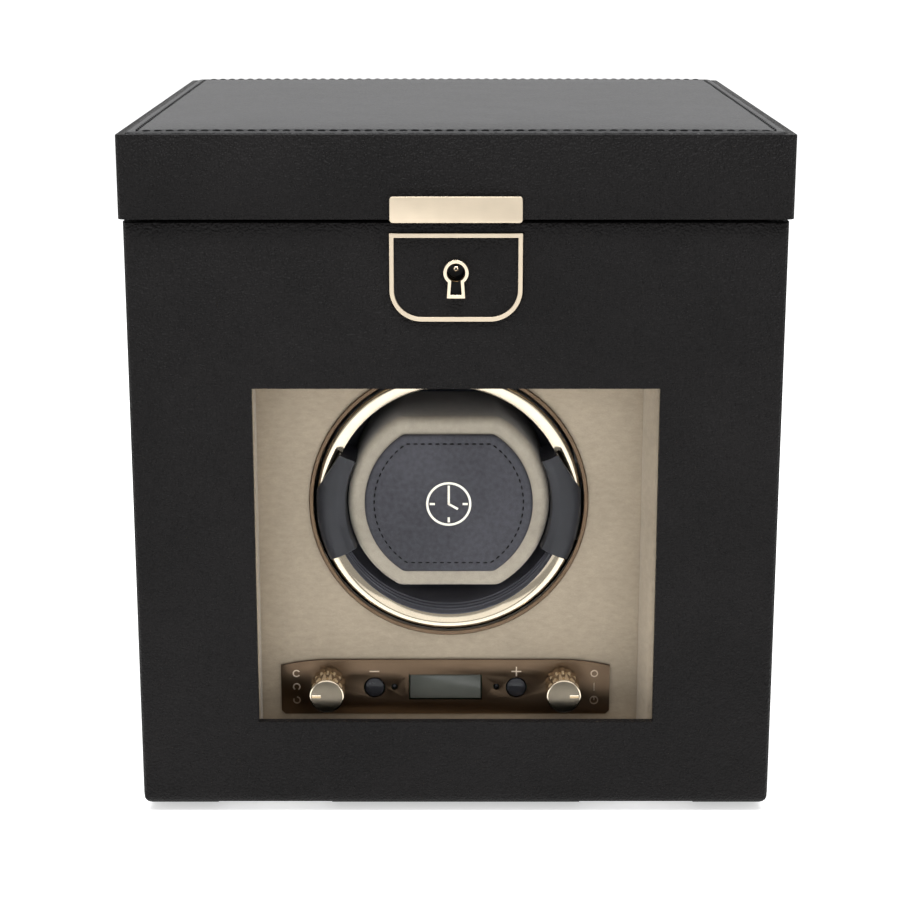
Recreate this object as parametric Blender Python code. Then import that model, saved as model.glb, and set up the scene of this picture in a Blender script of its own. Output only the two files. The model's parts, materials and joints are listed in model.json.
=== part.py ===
"""Watch winder box: a leather-covered case with a hinged lid, a drop-down glazed front and one winding drum.

Metres, +Z up, front towards -Y. The origin is on the floor below the middle of the box's outline.
Run with: blender --background --python part.py
"""

import math

import bmesh
import bpy
from mathutils import Matrix, Vector

MM = 0.001
GAP = 0.3 * MM  # left between neighbouring pieces

# Case. The front plane and the back plane are placed so that the catch plate and the hinge knuckles balance.
CASE_WIDTH = 200 * MM
CASE_DEPTH = 200 * MM
CASE_HEIGHT = 188.3 * MM
CASE_WALL = 8 * MM
PAD_THICKNESS = 1.6 * MM
PAD_INSET = 6.5 * MM
FRONT_Y = -101.05 * MM
BACK_Y = FRONT_Y + CASE_DEPTH
CASE_BOTTOM = PAD_THICKNESS + GAP
CASE_TOP = CASE_BOTTOM + CASE_HEIGHT
BOTTOM_ROUND = 4.5 * MM
CORNER_ROUND = 2 * MM
EDGE_ROUND = 1 * MM
CORNER_STEPS = 3
BOTTOM_STEPS = 4
DOOR_STEPS = 6

# Drop-down front door and its window
DOOR_THICKNESS = 12 * MM
DOOR_SKIN = 3 * MM
DOOR_AXIS_Y = FRONT_Y + BOTTOM_ROUND
DOOR_AXIS_Z = CASE_BOTTOM + BOTTOM_ROUND
WINDOW_WIDTH = 125 * MM
WINDOW_BOTTOM = 28.8 * MM + CASE_BOTTOM
WINDOW_TOP = 137.2 * MM + CASE_BOTTOM
WINDOW_REBATE = 8 * MM
GLASS_THICKNESS = 2 * MM
RETAINER_WIDTH = 3.6 * MM
LINING_THICKNESS = 1.2 * MM
LINING_INSET = 10 * MM

# Door hinges and power inlet
DOOR_PIVOT = (0, DOOR_AXIS_Y, DOOR_AXIS_Z)
DOOR_HINGES = (-58 * MM, 58 * MM)
HINGE_HALF = 18 * MM
LEAF_LENGTH = 12 * MM
LEAF_THICKNESS = 1 * MM
KNUCKLE_RADIUS = 2.6 * MM
PIN_RADIUS = 1 * MM
INLET_X = 60 * MM
INLET_Z = 30 * MM
INLET_RADIUS = 5 * MM

# Lid
LID_OVERHANG = 1.2 * MM
LID_BOTTOM = CASE_TOP + 0.9 * MM
LID_TOP = LID_BOTTOM + 25.2 * MM
LID_WALL = 10 * MM
LID_TOP_BOARD = 5.5 * MM
PANEL_INSET = 2.8 * MM
PANEL_SINK = 1.3 * MM
PANEL_THICKNESS = 2.8 * MM
LID_HINGE_HALF = 70 * MM
LID_KNUCKLE = 2 * MM
LID_LEAF = 0.8 * MM
LID_LEAF_HEIGHT = 12 * MM
LID_PIN = 0.8 * MM
LID_AXIS_Y = BACK_Y + GAP + LID_KNUCKLE
LID_AXIS_Z = (CASE_TOP + LID_BOTTOM) / 2
LID_PIVOT = (0, LID_AXIS_Y, LID_AXIS_Z)

# Lock
LOCK_HALF_WIDTH = 20.1 * MM
LOCK_BOTTOM = 158.1 * MM + CASE_BOTTOM
LOCK_TOP = 185.0 * MM + CASE_BOTTOM
LOCK_LINE = 1.4 * MM
LOCK_ROUND = 9.8 * MM
KEY_Z = 173.2 * MM + CASE_BOTTOM
CYLINDER_RADIUS = 3 * MM
KEY_HEAD = 2.75 * MM
KEY_FOOT_HALF = 1.7 * MM
KEY_LENGTH = 6.8 * MM
KEY_RIM = 1.1 * MM
BOLT_HALF_WIDTH = 7 * MM
BOLT_NEAR = 3.9 * MM
BOLT_FAR = 6.5 * MM
BOLT_TRAVEL = 4 * MM

# Winder bay, behind the glass
FASCIA_Y = FRONT_Y + 22 * MM
FASCIA_THICKNESS = 3 * MM
FASCIA_HALF_WIDTH = 75 * MM
SURROUND_OPENING_X = (-63 * MM, 62.8 * MM)
SURROUND_OPENING_Z = (20 * MM, 143 * MM)
BAY_TOP = 150.4 * MM
DRUM_X = -2.2 * MM
DRUM_Z = 97.1 * MM
HOLE_RADIUS = 43.6 * MM
CUP_RADIUS = 42.2 * MM
CUP_INNER = 37.7 * MM
CUP_DEPTH = 47 * MM
RING_INNER = 37.7 * MM
RING_OUTER = 42.2 * MM
CUFF_RADIUS = 32.2 * MM
CUFF_HALF_HEIGHT = 28.0 * MM
PATCH_INSET = 5.4 * MM
CLIP_HALF_HEIGHT = 17 * MM
CUFF_DEPTH = 40 * MM

# Controls
CONTROL_X = -3.3 * MM
PLATE_HALF_WIDTH = 53.5 * MM
PLATE_BOTTOM = 25.6 * MM
PLATE_TOP = 44.2 * MM
PLATE_THICKNESS = 1.1 * MM
KNOB_SPACING = 38.0 * MM
KNOB_Z = 36.3 * MM
KNOB_RADIUS = 5.6 * MM
KNOB_LENGTH = 12.5 * MM
SCALLOP_DEPTH = 0.55 * MM
BUTTON_SPACING = 23.1 * MM
BUTTON_Z = 34.7 * MM
BUTTON_RADIUS = 3.2 * MM
LED_SPACING = 16.6 * MM
DISPLAY_HALF_WIDTH = 11.9 * MM
DISPLAY_BOTTOM = 30.4 * MM
DISPLAY_TOP = 39.1 * MM

# Drive
GEAR_MODULE = 0.8 * MM
GEAR_TEETH = 48
PINION_TEETH = 12
GEAR_NEAR = FASCIA_Y + 50.5 * MM
GEAR_FAR = FASCIA_Y + 55.5 * MM
BRACKET_NEAR = FASCIA_Y + 57.5 * MM
BRACKET_FAR = FASCIA_Y + 60 * MM
SHAFT_RADIUS = 2.5 * MM
MOTOR_RADIUS = 10 * MM
MOTOR_LENGTH = 24 * MM
HOUSING_FAR = FASCIA_Y + 92 * MM
HOUSING_HALF = 74 * MM

ROUND_STEPS = 24
WIDE_STEPS = 48

COLOURS = {  # colour, roughness, metallic
    "leather": ((0.020, 0.019, 0.019), 0.6, 0.0),
    "suede": ((0.38, 0.32, 0.25), 0.9, 0.0),
    "felt": ((0.01, 0.01, 0.01), 1.0, 0.0),
    "gold": ((0.75, 0.62, 0.42), 0.25, 1.0),
    "bronze": ((0.20, 0.14, 0.10), 0.3, 1.0),
    "steel": ((0.60, 0.60, 0.60), 0.3, 1.0),
    "glass": ((0.90, 0.95, 0.95), 0.05, 0.0),
    "dark_plastic": ((0.05, 0.05, 0.055), 0.5, 0.0),
    "display": ((0.06, 0.06, 0.055), 0.2, 0.0),
    "board": ((0.02, 0.10, 0.04), 0.5, 0.0),
    "patch": ((0.05, 0.05, 0.06), 0.6, 0.0),
}


def new_collection(name):
    collection = bpy.data.collections.new(name)
    bpy.context.scene.collection.children.link(collection)
    return collection


for old in list(bpy.data.objects):
    bpy.data.objects.remove(old, do_unlink=True)
PARTS = new_collection("watch_winder_box")
CUTTERS = new_collection("cutters")


def material_for(name, finish):
    """The piece's own material, in one of the object's finishes."""
    colour, roughness, metallic = COLOURS[finish]
    material = bpy.data.materials.new(name)
    material.use_nodes = True
    shader = material.node_tree.nodes["Principled BSDF"]
    shader.inputs["Base Color"].default_value = (*colour, 1.0)
    shader.inputs["Roughness"].default_value = roughness
    shader.inputs["Metallic"].default_value = metallic
    return material


def add_piece(name, finish, shape, pivot=(0, 0, 0)):
    """A named piece from a bmesh in world coordinates, with its origin at pivot."""
    mesh = bpy.data.meshes.new(name)
    bmesh.ops.recalc_face_normals(shape, faces=shape.faces)
    bmesh.ops.transform(shape, matrix=Matrix.Translation(-Vector(pivot)), verts=shape.verts)
    shape.to_mesh(mesh)
    shape.free()
    mesh.materials.append(material_for(name, finish))
    piece = bpy.data.objects.new(name, mesh)
    piece.location = pivot
    PARTS.objects.link(piece)
    return piece


def change(piece, shape, operation):
    """Cut a shape out of a piece, or join it to the piece, with a live Boolean."""
    mesh = bpy.data.meshes.new(piece.name + "_cutter")
    bmesh.ops.recalc_face_normals(shape, faces=shape.faces)
    shape.to_mesh(mesh)
    shape.free()
    cutter = bpy.data.objects.new(mesh.name, mesh)
    cutter.hide_render = True
    cutter.display_type = "WIRE"
    CUTTERS.objects.link(cutter)
    modifier = piece.modifiers.new(operation.lower(), "BOOLEAN")
    modifier.operation = operation
    modifier.object = cutter


def cut(piece, shape):
    change(piece, shape, "DIFFERENCE")


def join(piece, shape):
    change(piece, shape, "UNION")


def trim(piece, shape):
    change(piece, shape, "INTERSECT")


def block(x, y, z, round_along=None, radius=0.0, segments=3, at=None):
    """A box from its three ranges. The edges along round_along, where at(middle) holds, are rounded."""
    shape = bmesh.new()
    bmesh.ops.create_cube(shape, size=1.0)
    size = Vector((x[1] - x[0], y[1] - y[0], z[1] - z[0]))
    middle = Vector((x[0] + x[1], y[0] + y[1], z[0] + z[1])) / 2
    placing = Matrix.Translation(middle) @ Matrix.Diagonal((*size, 1))
    bmesh.ops.transform(shape, matrix=placing, verts=shape.verts)
    if round_along:
        round_edges(shape, round_along, radius, segments, at)
    return shape


def round_edges(shape, along, radius, segments=3, at=None):
    """Round the shape's edges that run along the named axes and whose middle passes the test."""
    chosen = []
    for edge in shape.edges:
        run = (edge.verts[0].co - edge.verts[1].co).normalized()
        middle = (edge.verts[0].co + edge.verts[1].co) / 2
        if any(abs(run["XYZ".index(axis)]) > 0.99 for axis in along) and (at is None or at(middle)):
            chosen.append(edge)
    bmesh.ops.bevel(shape, geom=chosen, offset=radius, segments=segments, profile=0.5, affect="EDGES",
                    material=-1, clamp_overlap=True)


def rod(axis, centre, radius, span, steps=ROUND_STEPS):
    """A round bar along X, Y or Z. centre holds the other two coordinates, and span the two ends."""
    shape = bmesh.new()
    bmesh.ops.create_cone(shape, cap_ends=True, segments=steps, radius1=radius, radius2=radius,
                          depth=span[1] - span[0])
    middle = (span[0] + span[1]) / 2
    turn = {"X": Matrix.Rotation(math.pi / 2, 4, "Y"), "Y": Matrix.Rotation(math.pi / 2, 4, "X"),
            "Z": Matrix.Identity(4)}[axis]
    place = {"X": (middle, *centre), "Y": (centre[0], middle, centre[1]), "Z": (*centre, middle)}[axis]
    bmesh.ops.transform(shape, matrix=Matrix.Translation(place) @ turn, verts=shape.verts)
    return shape


def extruded(outline, y):
    """A closed outline of (x, z) points, extruded over the range y."""
    shape = bmesh.new()
    face = shape.faces.new([shape.verts.new((px, y[0], pz)) for px, pz in outline])
    grown = bmesh.ops.extrude_face_region(shape, geom=[face])
    moved = [item for item in grown["geom"] if isinstance(item, bmesh.types.BMVert)]
    bmesh.ops.translate(shape, vec=(0, y[1] - y[0], 0), verts=moved)
    return shape


def arc(centre, radius, start, end, steps):
    """Points on an arc in the XZ plane, from one angle in degrees to the other."""
    angles = [math.radians(start + (end - start) * i / steps) for i in range(steps + 1)]
    return [(centre[0] + radius * math.cos(a), centre[1] + radius * math.sin(a)) for a in angles]


def lock_outline(inset):
    """The lock plate's outline: square at the top and widely rounded at the bottom."""
    half = LOCK_HALF_WIDTH - inset
    low = LOCK_BOTTOM + inset
    high = LOCK_TOP - inset
    radius = LOCK_ROUND - inset
    right = arc((half - radius, low + radius), radius, -90, 0, 6)
    left = arc((radius - half, low + radius), radius, 180, 270, 6)
    return right + [(half, high), (-half, high)] + left


def keyhole_outline(grow):
    """A keyhole with a round head over a flared skirt, grown outwards by a distance."""
    head = KEY_HEAD + grow
    neck_half = 0.5 * KEY_HEAD + grow
    foot_half = KEY_FOOT_HALF + grow
    foot_z = KEY_Z - KEY_LENGTH - grow
    neck = math.degrees(math.asin(neck_half / head))
    return arc((0, KEY_Z), head, -90 + neck, 270 - neck, 14) + [(-foot_half, foot_z), (foot_half, foot_z)]


def gear_outline(centre, teeth, phase):
    """A spur gear with straight-sided teeth, in the XZ plane."""
    pitch = GEAR_MODULE * teeth / 2
    root = pitch - 1.2 * GEAR_MODULE
    tip = pitch + 0.85 * GEAR_MODULE
    points = []
    for tooth in range(teeth):
        middle = 360 * tooth / teeth + phase
        for offset, radius in ((-0.32, root), (-0.11, tip), (0.11, tip), (0.32, root)):
            angle = math.radians(middle + offset * 360 / teeth)
            points.append((centre[0] + radius * math.cos(angle), centre[1] + radius * math.sin(angle)))
    return points


def spread(half, middle=0.0):
    return (middle - half, middle + half)


def behind(near, far):
    """A range of distances behind the front plane, as a range of Y."""
    return (FRONT_Y + near, FRONT_Y + far)


def make_case():
    half = CASE_WIDTH / 2
    back = CASE_DEPTH
    front = DOOR_THICKNESS + GAP
    add_piece("base_pad", "felt", block(spread(half - PAD_INSET), behind(front + 1 * MM, back - PAD_INSET),
                                        (0, PAD_THICKNESS), "Z", 8 * MM))
    height = (CASE_BOTTOM, CASE_TOP)
    beyond = CASE_WIDTH
    case = add_piece("case_shell", "leather",
                     block(spread(half), behind(front, back), height, "Z", CORNER_ROUND, CORNER_STEPS,
                           lambda m: m.y > 0))
    trim(case, block(spread(half), spread(beyond), (CASE_BOTTOM, beyond), "Y", BOTTOM_ROUND, BOTTOM_STEPS,
                     lambda m: m.z < 0.1))
    back_edge = block(spread(beyond), (-beyond, BACK_Y), (CASE_BOTTOM, beyond), "X", BOTTOM_ROUND,
                      BOTTOM_STEPS, lambda m: m.y > 0 and m.z < 0.1)
    trim(case, back_edge)
    inner = half - CASE_WALL
    hollow_z = (CASE_BOTTOM + CASE_WALL, CASE_TOP + CASE_WALL)
    cut(case, block(spread(inner), behind(0, back - CASE_WALL), hollow_z))
    for x in DOOR_HINGES:
        cut(case, block(spread(HINGE_HALF + GAP, x), behind(0, front + LEAF_LENGTH + GAP),
                        (DOOR_AXIS_Z - 2.9 * MM, DOOR_AXIS_Z - 1.3 * MM)))
    through_back = behind(back - 3 * CASE_WALL, back + CASE_WALL)
    cut(case, rod("Y", (INLET_X, INLET_Z), INLET_RADIUS + GAP, through_back))
    inlet = add_piece("dc_inlet", "dark_plastic",
                      rod("Y", (INLET_X, INLET_Z), INLET_RADIUS, behind(back - 12 * MM, back + 0.2 * MM)))
    cut(inlet, rod("Y", (INLET_X, INLET_Z), 2.8 * MM, behind(back - 9 * MM, back + 1 * MM)))
    join(inlet, rod("Y", (INLET_X, INLET_Z), 0.9 * MM, behind(back - 10 * MM, back - 1 * MM), 12))


def make_door():
    half = CASE_WIDTH / 2
    shape = block(spread(half), behind(0, DOOR_THICKNESS), (CASE_BOTTOM, CASE_TOP))
    round_edges(shape, "X", BOTTOM_ROUND, DOOR_STEPS, lambda m: m.z < CASE_BOTTOM + EDGE_ROUND)
    round_edges(shape, "X", EDGE_ROUND, 2,
                lambda m: m.z > CASE_TOP - EDGE_ROUND and m.y < FRONT_Y + EDGE_ROUND)
    door = add_piece("door_panel", "leather", shape, DOOR_PIVOT)
    beyond = CASE_WIDTH
    trim(door, block(spread(half), (FRONT_Y, beyond), spread(2 * beyond), "Z", CORNER_ROUND, CORNER_STEPS,
                     lambda m: m.y < 0))
    trim(door, block(spread(half), spread(beyond), (CASE_BOTTOM, 2 * beyond), "Y", BOTTOM_ROUND, BOTTOM_STEPS,
                     lambda m: m.z < 0.1))
    window_half = WINDOW_WIDTH / 2
    cut(door, block(spread(window_half), behind(-1 * MM, DOOR_THICKNESS), (WINDOW_BOTTOM, WINDOW_TOP)))
    rebate = (WINDOW_BOTTOM - WINDOW_REBATE, WINDOW_TOP + WINDOW_REBATE)
    rebate_half = window_half + WINDOW_REBATE
    cut(door, block(spread(rebate_half), behind(DOOR_SKIN, DOOR_THICKNESS + 1 * MM), rebate))
    lining_near = DOOR_THICKNESS - LINING_THICKNESS
    lining_z = (CASE_BOTTOM + 13 * MM, CASE_TOP - 5 * MM)
    lining_half = half - LINING_INSET
    cut(door, block(spread(lining_half + GAP), behind(lining_near - GAP, DOOR_THICKNESS + 1 * MM),
                    (lining_z[0] - GAP, lining_z[1] + GAP)))
    add_piece("door_glass", "glass",
              block(spread(rebate_half - GAP), behind(DOOR_SKIN + GAP, DOOR_SKIN + GAP + GLASS_THICKNESS),
                    (rebate[0] + GAP, rebate[1] - GAP)), DOOR_PIVOT)
    retainer_near = DOOR_SKIN + 2 * GAP + GLASS_THICKNESS
    retainer = add_piece("glass_retainer", "dark_plastic",
                         block(spread(rebate_half - GAP), behind(retainer_near, lining_near - GAP),
                               (rebate[0] + GAP, rebate[1] - GAP)), DOOR_PIVOT)
    opening = (spread(rebate_half - GAP - RETAINER_WIDTH), behind(0, 2 * DOOR_THICKNESS),
               (rebate[0] + GAP + RETAINER_WIDTH, rebate[1] - GAP - RETAINER_WIDTH))
    cut(retainer, block(*opening))
    lining = add_piece("door_lining", "suede",
                       block(spread(lining_half), behind(lining_near, DOOR_THICKNESS), lining_z), DOOR_PIVOT)
    cut(lining, block(*opening))
    make_lock(door)
    for side, x in zip(("left", "right"), DOOR_HINGES):
        make_door_hinge(door, side, x)


def make_door_hinge(door, side, x):
    """A butt hinge in a notch of the door's foot: the case leaf holds the middle knuckle."""
    centre = (DOOR_AXIS_Y, DOOR_AXIS_Z)
    notch = 2.9 * MM
    third = HINGE_HALF / 3
    cut(door, block(spread(HINGE_HALF + GAP, x), (DOOR_AXIS_Y - notch, DOOR_AXIS_Y + DOOR_THICKNESS),
                    (CASE_BOTTOM - notch, DOOR_AXIS_Z + notch)))
    low = (DOOR_AXIS_Z - KNUCKLE_RADIUS, DOOR_AXIS_Z - KNUCKLE_RADIUS + LEAF_THICKNESS)
    high = (DOOR_AXIS_Z + KNUCKLE_RADIUS - LEAF_THICKNESS, DOOR_AXIS_Z + KNUCKLE_RADIUS)
    clear = KNUCKLE_RADIUS + GAP
    door_back = DOOR_AXIS_Y + DOOR_THICKNESS - BOTTOM_ROUND - GAP
    bore = rod("X", centre, PIN_RADIUS + GAP, spread(HINGE_HALF + 1 * MM, x), 16)
    leaf_y = (DOOR_AXIS_Y + clear, FRONT_Y + DOOR_THICKNESS + LEAF_LENGTH)
    case_leaf = add_piece("door_hinge_" + side + "_case_leaf", "steel",
                          block(spread(HINGE_HALF, x), leaf_y, low))
    join(case_leaf, block(spread(third - GAP, x), (DOOR_AXIS_Y, DOOR_AXIS_Y + clear + 1 * MM), low))
    join(case_leaf, rod("X", centre, KNUCKLE_RADIUS, spread(third - GAP, x)))
    cut(case_leaf, bore.copy())
    door_leaf = add_piece("door_hinge_" + side + "_door_leaf", "steel",
                          block(spread(HINGE_HALF, x), (DOOR_AXIS_Y + clear, door_back), high), DOOR_PIVOT)
    for end in (-1, 1):
        span = spread(third - GAP, x + end * (2 * third))
        join(door_leaf, block(span, (DOOR_AXIS_Y, DOOR_AXIS_Y + clear + 1 * MM), high))
        join(door_leaf, rod("X", centre, KNUCKLE_RADIUS, span))
    cut(door_leaf, bore)
    add_piece("door_hinge_" + side + "_pin", "steel",
              rod("X", centre, PIN_RADIUS, spread(HINGE_HALF - GAP, x), 16))


def make_lock(door):
    sink = 0.9 * MM
    case_half = 16 * MM
    case_bottom = CASE_TOP - 28 * MM
    cut(door, extruded(lock_outline(-GAP), behind(-2 * MM, sink)))
    pocket_far = DOOR_THICKNESS - LINING_THICKNESS - GAP
    cut(door, block(spread(case_half + GAP), behind(DOOR_SKIN + GAP, pocket_far),
                    (case_bottom - GAP, CASE_TOP + 1 * MM)))
    keyway = 2 * GAP
    cut(door, extruded(keyhole_outline(keyway), behind(-1 * MM, 5 * MM)))
    frame = add_piece("lock_frame", "gold", extruded(lock_outline(0), behind(-0.5 * MM, sink - GAP)),
                      DOOR_PIVOT)
    cut(frame, extruded(lock_outline(LOCK_LINE), behind(-2 * MM, 2 * MM)))
    inlay = add_piece("lock_inlay", "leather",
                      extruded(lock_outline(LOCK_LINE + GAP), behind(-0.1 * MM, sink - GAP)), DOOR_PIVOT)
    cut(inlay, extruded(keyhole_outline(keyway), behind(-2 * MM, 2 * MM)))
    plate = add_piece("keyhole_escutcheon", "gold",
                      extruded(keyhole_outline(KEY_RIM), behind(-1.1 * MM, -0.4 * MM)), DOOR_PIVOT)
    cut(plate, extruded(keyhole_outline(0), behind(-3 * MM, 1 * MM)))
    pivot = (0, FRONT_Y, KEY_Z)
    cylinder = add_piece("lock_cylinder", "gold",
                         rod("Y", (0, KEY_Z), CYLINDER_RADIUS, behind(0, 9.2 * MM)), pivot)
    cut(cylinder, block(spread(0.6 * MM), behind(-1 * MM, 6 * MM), (KEY_Z - 2.2 * MM, KEY_Z + 2.2 * MM)))
    case = add_piece("lock_case", "steel",
                     block(spread(case_half), behind(DOOR_SKIN + 2 * GAP, pocket_far - GAP),
                           (case_bottom, CASE_TOP - GAP)), DOOR_PIVOT)
    cut(case, rod("Y", (0, KEY_Z), CYLINDER_RADIUS + GAP, behind(0, DOOR_THICKNESS)))
    bolt_bottom = KEY_Z + CYLINDER_RADIUS + 5 * GAP
    cut(case, block(spread(BOLT_HALF_WIDTH + GAP), behind(BOLT_NEAR - GAP, BOLT_FAR + GAP),
                    (bolt_bottom - GAP, CASE_TOP + 1 * MM)))
    bolt = block(spread(BOLT_HALF_WIDTH), behind(BOLT_NEAR, BOLT_FAR), (bolt_bottom, CASE_TOP - GAP))
    add_piece("lock_bolt", "steel", bolt, DOOR_PIVOT)


def make_lid():
    half = CASE_WIDTH / 2 + LID_OVERHANG
    shape = block(spread(half), behind(-LID_OVERHANG, CASE_DEPTH), (LID_BOTTOM, LID_TOP))
    round_edges(shape, "Z", CORNER_ROUND, CORNER_STEPS)
    round_edges(shape, "XY", EDGE_ROUND, 2, lambda m: m.z > LID_TOP - EDGE_ROUND)
    lid = add_piece("lid_shell", "leather", shape, LID_PIVOT)
    cavity_half = half - LID_WALL
    cut(lid, block(spread(cavity_half), behind(LID_WALL - LID_OVERHANG, CASE_DEPTH - LID_WALL),
                   (LID_BOTTOM - 1 * MM, LID_TOP - LID_TOP_BOARD)))
    panel_half = half - PANEL_INSET
    panel_y = (-LID_OVERHANG + PANEL_INSET, CASE_DEPTH - PANEL_INSET)
    cut(lid, block(spread(panel_half + GAP), behind(panel_y[0] - GAP, panel_y[1] + GAP),
                   (LID_TOP - PANEL_SINK, LID_TOP + 1 * MM), "Z", CORNER_ROUND, 2))
    panel_bottom = LID_TOP - PANEL_SINK + GAP
    add_piece("lid_top_panel", "leather",
              block(spread(panel_half), behind(*panel_y), (panel_bottom, panel_bottom + PANEL_THICKNESS), "Z",
                    CORNER_ROUND, 2), LID_PIVOT)
    lining_top = LID_TOP - LID_TOP_BOARD - GAP
    add_piece("lid_lining", "suede",
              block(spread(cavity_half - 1 * MM), behind(LID_WALL, CASE_DEPTH - LID_WALL - 1 * MM),
                    (lining_top - 4 * MM, lining_top)), LID_PIVOT)
    catch = block(spread(19.9 * MM), behind(-LID_OVERHANG - 1 * MM, -LID_OVERHANG - GAP),
                  (CASE_TOP, LID_BOTTOM + 7 * MM), "Y", 0.8 * MM, 2)
    add_piece("catch_plate", "gold", catch, LID_PIVOT)
    strike_y = (2.0 * MM, 8.2 * MM)
    strike_z = (LID_BOTTOM, LID_BOTTOM + 0.8 * MM)
    cut(lid, block(spread(14 * MM + GAP), behind(strike_y[0] - GAP, strike_y[1] + GAP),
                   (LID_BOTTOM - 1 * MM, strike_z[1] + GAP)))
    slot = (spread(BOLT_HALF_WIDTH + 2 * GAP), behind(BOLT_NEAR - GAP, BOLT_FAR + GAP),
            (LID_BOTTOM - 1 * MM, CASE_TOP + BOLT_TRAVEL + 1 * MM))
    cut(lid, block(*slot))
    strike = add_piece("lid_strike", "steel", block(spread(14 * MM), behind(*strike_y), strike_z), LID_PIVOT)
    cut(strike, block(*slot))
    make_lid_hinge()


def make_lid_hinge():
    """A long five-knuckle hinge behind the case: the case leaf has three knuckles and the lid leaf two."""
    centre = (LID_AXIS_Y, LID_AXIS_Z)
    leaf_y = (BACK_Y + GAP, BACK_Y + GAP + LID_LEAF)
    clear = LID_KNUCKLE + GAP
    pitch = 2 * LID_HINGE_HALF / 5
    for name, up, numbers, pivot in (("lid_hinge_case_leaf", -1, (0, 2, 4), (0, 0, 0)),
                                     ("lid_hinge_lid_leaf", 1, (1, 3), LID_PIVOT)):
        far = LID_AXIS_Z + up * (clear + LID_LEAF_HEIGHT)
        near = LID_AXIS_Z + up * clear
        leaf = add_piece(name, "steel", block(spread(LID_HINGE_HALF), leaf_y, sorted((near, far))), pivot)
        for number in numbers:
            span = spread(pitch / 2 - GAP, -LID_HINGE_HALF + (number + 0.5) * pitch)
            join(leaf, block(span, leaf_y, sorted((LID_AXIS_Z, near + up * 1 * MM))))
            join(leaf, rod("X", centre, LID_KNUCKLE, span, 16))
        cut(leaf, rod("X", centre, LID_PIN + GAP, spread(LID_HINGE_HALF + 1 * MM), 12))
    add_piece("lid_hinge_pin", "steel", rod("X", centre, LID_PIN, spread(LID_HINGE_HALF - GAP), 12))


def make_storage():
    inner = CASE_WIDTH / 2 - CASE_WALL - GAP
    outer_y = (DOOR_THICKNESS + 1 * MM, CASE_DEPTH - CASE_WALL - GAP)
    floor_z = BAY_TOP + GAP
    tray = add_piece("storage_tray", "suede",
                     block(spread(inner), behind(*outer_y), (floor_z, CASE_TOP - 3 * MM)))
    wall = 3 * MM
    base = 4 * MM
    cross = outer_y[0] + 108 * MM
    cell = (2 * inner - 4 * wall) / 3
    for number, side in enumerate(("left", "centre", "right")):
        low = -inner + wall + number * (cell + wall)
        cut(tray, block((low, low + cell), behind(outer_y[0] + wall, cross), (floor_z + base, CASE_TOP)))
        add_piece("watch_pillow_" + side, "suede",
                  block((low + 3 * MM, low + cell - 3 * MM), behind(outer_y[0] + 14 * MM, cross - 12 * MM),
                        (floor_z + base + GAP, floor_z + base + 40 * MM), "X", 12 * MM, 4))
    rear_well = block(spread(inner - wall), behind(cross + wall, outer_y[1] - wall), (floor_z + base, CASE_TOP))
    cut(tray, rear_well)


def make_bay():
    """The lined surround, the suede fascia and the controls behind the glass."""
    inner = CASE_WIDTH / 2 - CASE_WALL - GAP
    bottom = CASE_BOTTOM + CASE_WALL + GAP
    surround_y = (FRONT_Y + DOOR_THICKNESS + 1 * MM, FASCIA_Y - GAP)
    surround = add_piece("bay_surround", "suede", block(spread(inner), surround_y, (bottom, BAY_TOP)))
    opening = block(SURROUND_OPENING_X, (surround_y[0] - 1 * MM, surround_y[1] + 1 * MM), SURROUND_OPENING_Z)
    for vert in opening.verts:
        if vert.co.x > 0 and vert.co.y > surround_y[1]:
            vert.co.x -= 4.4 * MM
    cut(surround, opening)
    board = block(spread(FASCIA_HALF_WIDTH, DRUM_X), (FASCIA_Y, FASCIA_Y + FASCIA_THICKNESS), (bottom, BAY_TOP))
    fascia = add_piece("fascia", "suede", board)
    through = (FASCIA_Y - 10 * MM, FASCIA_Y + 10 * MM)
    cut(fascia, rod("Y", (DRUM_X, DRUM_Z), HOLE_RADIUS, through, WIDE_STEPS))
    behind_plate = (PLATE_BOTTOM + 2 * MM, PLATE_TOP - 2 * MM)
    cut(fascia, block(spread(PLATE_HALF_WIDTH - 5 * MM, CONTROL_X), through, behind_plate))
    rim_y = (FASCIA_Y - 0.9 * MM, FASCIA_Y - GAP)
    rim = add_piece("fascia_rim", "bronze", rod("Y", (DRUM_X, DRUM_Z), HOLE_RADIUS + 1 * MM, rim_y, WIDE_STEPS))
    cut(rim, rod("Y", (DRUM_X, DRUM_Z), HOLE_RADIUS - 0.4 * MM, through, WIDE_STEPS))
    make_controls(through)


def plate_outline():
    """The control plate: straight below, with a top edge that bows down towards both ends."""
    flat = 37 * MM
    drop = 2.0 * MM
    corner = 1.2 * MM
    right = [(PLATE_HALF_WIDTH - corner, PLATE_BOTTOM), (PLATE_HALF_WIDTH, PLATE_BOTTOM + corner)]
    for step in range(9):
        share = step / 8
        x = PLATE_HALF_WIDTH - (PLATE_HALF_WIDTH - flat) * share
        right.append((x, PLATE_TOP - drop * (1 - share) ** 2))
    outline = right + [(-x, z) for x, z in reversed(right)]
    return [(CONTROL_X + x, z) for x, z in outline]


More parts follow.
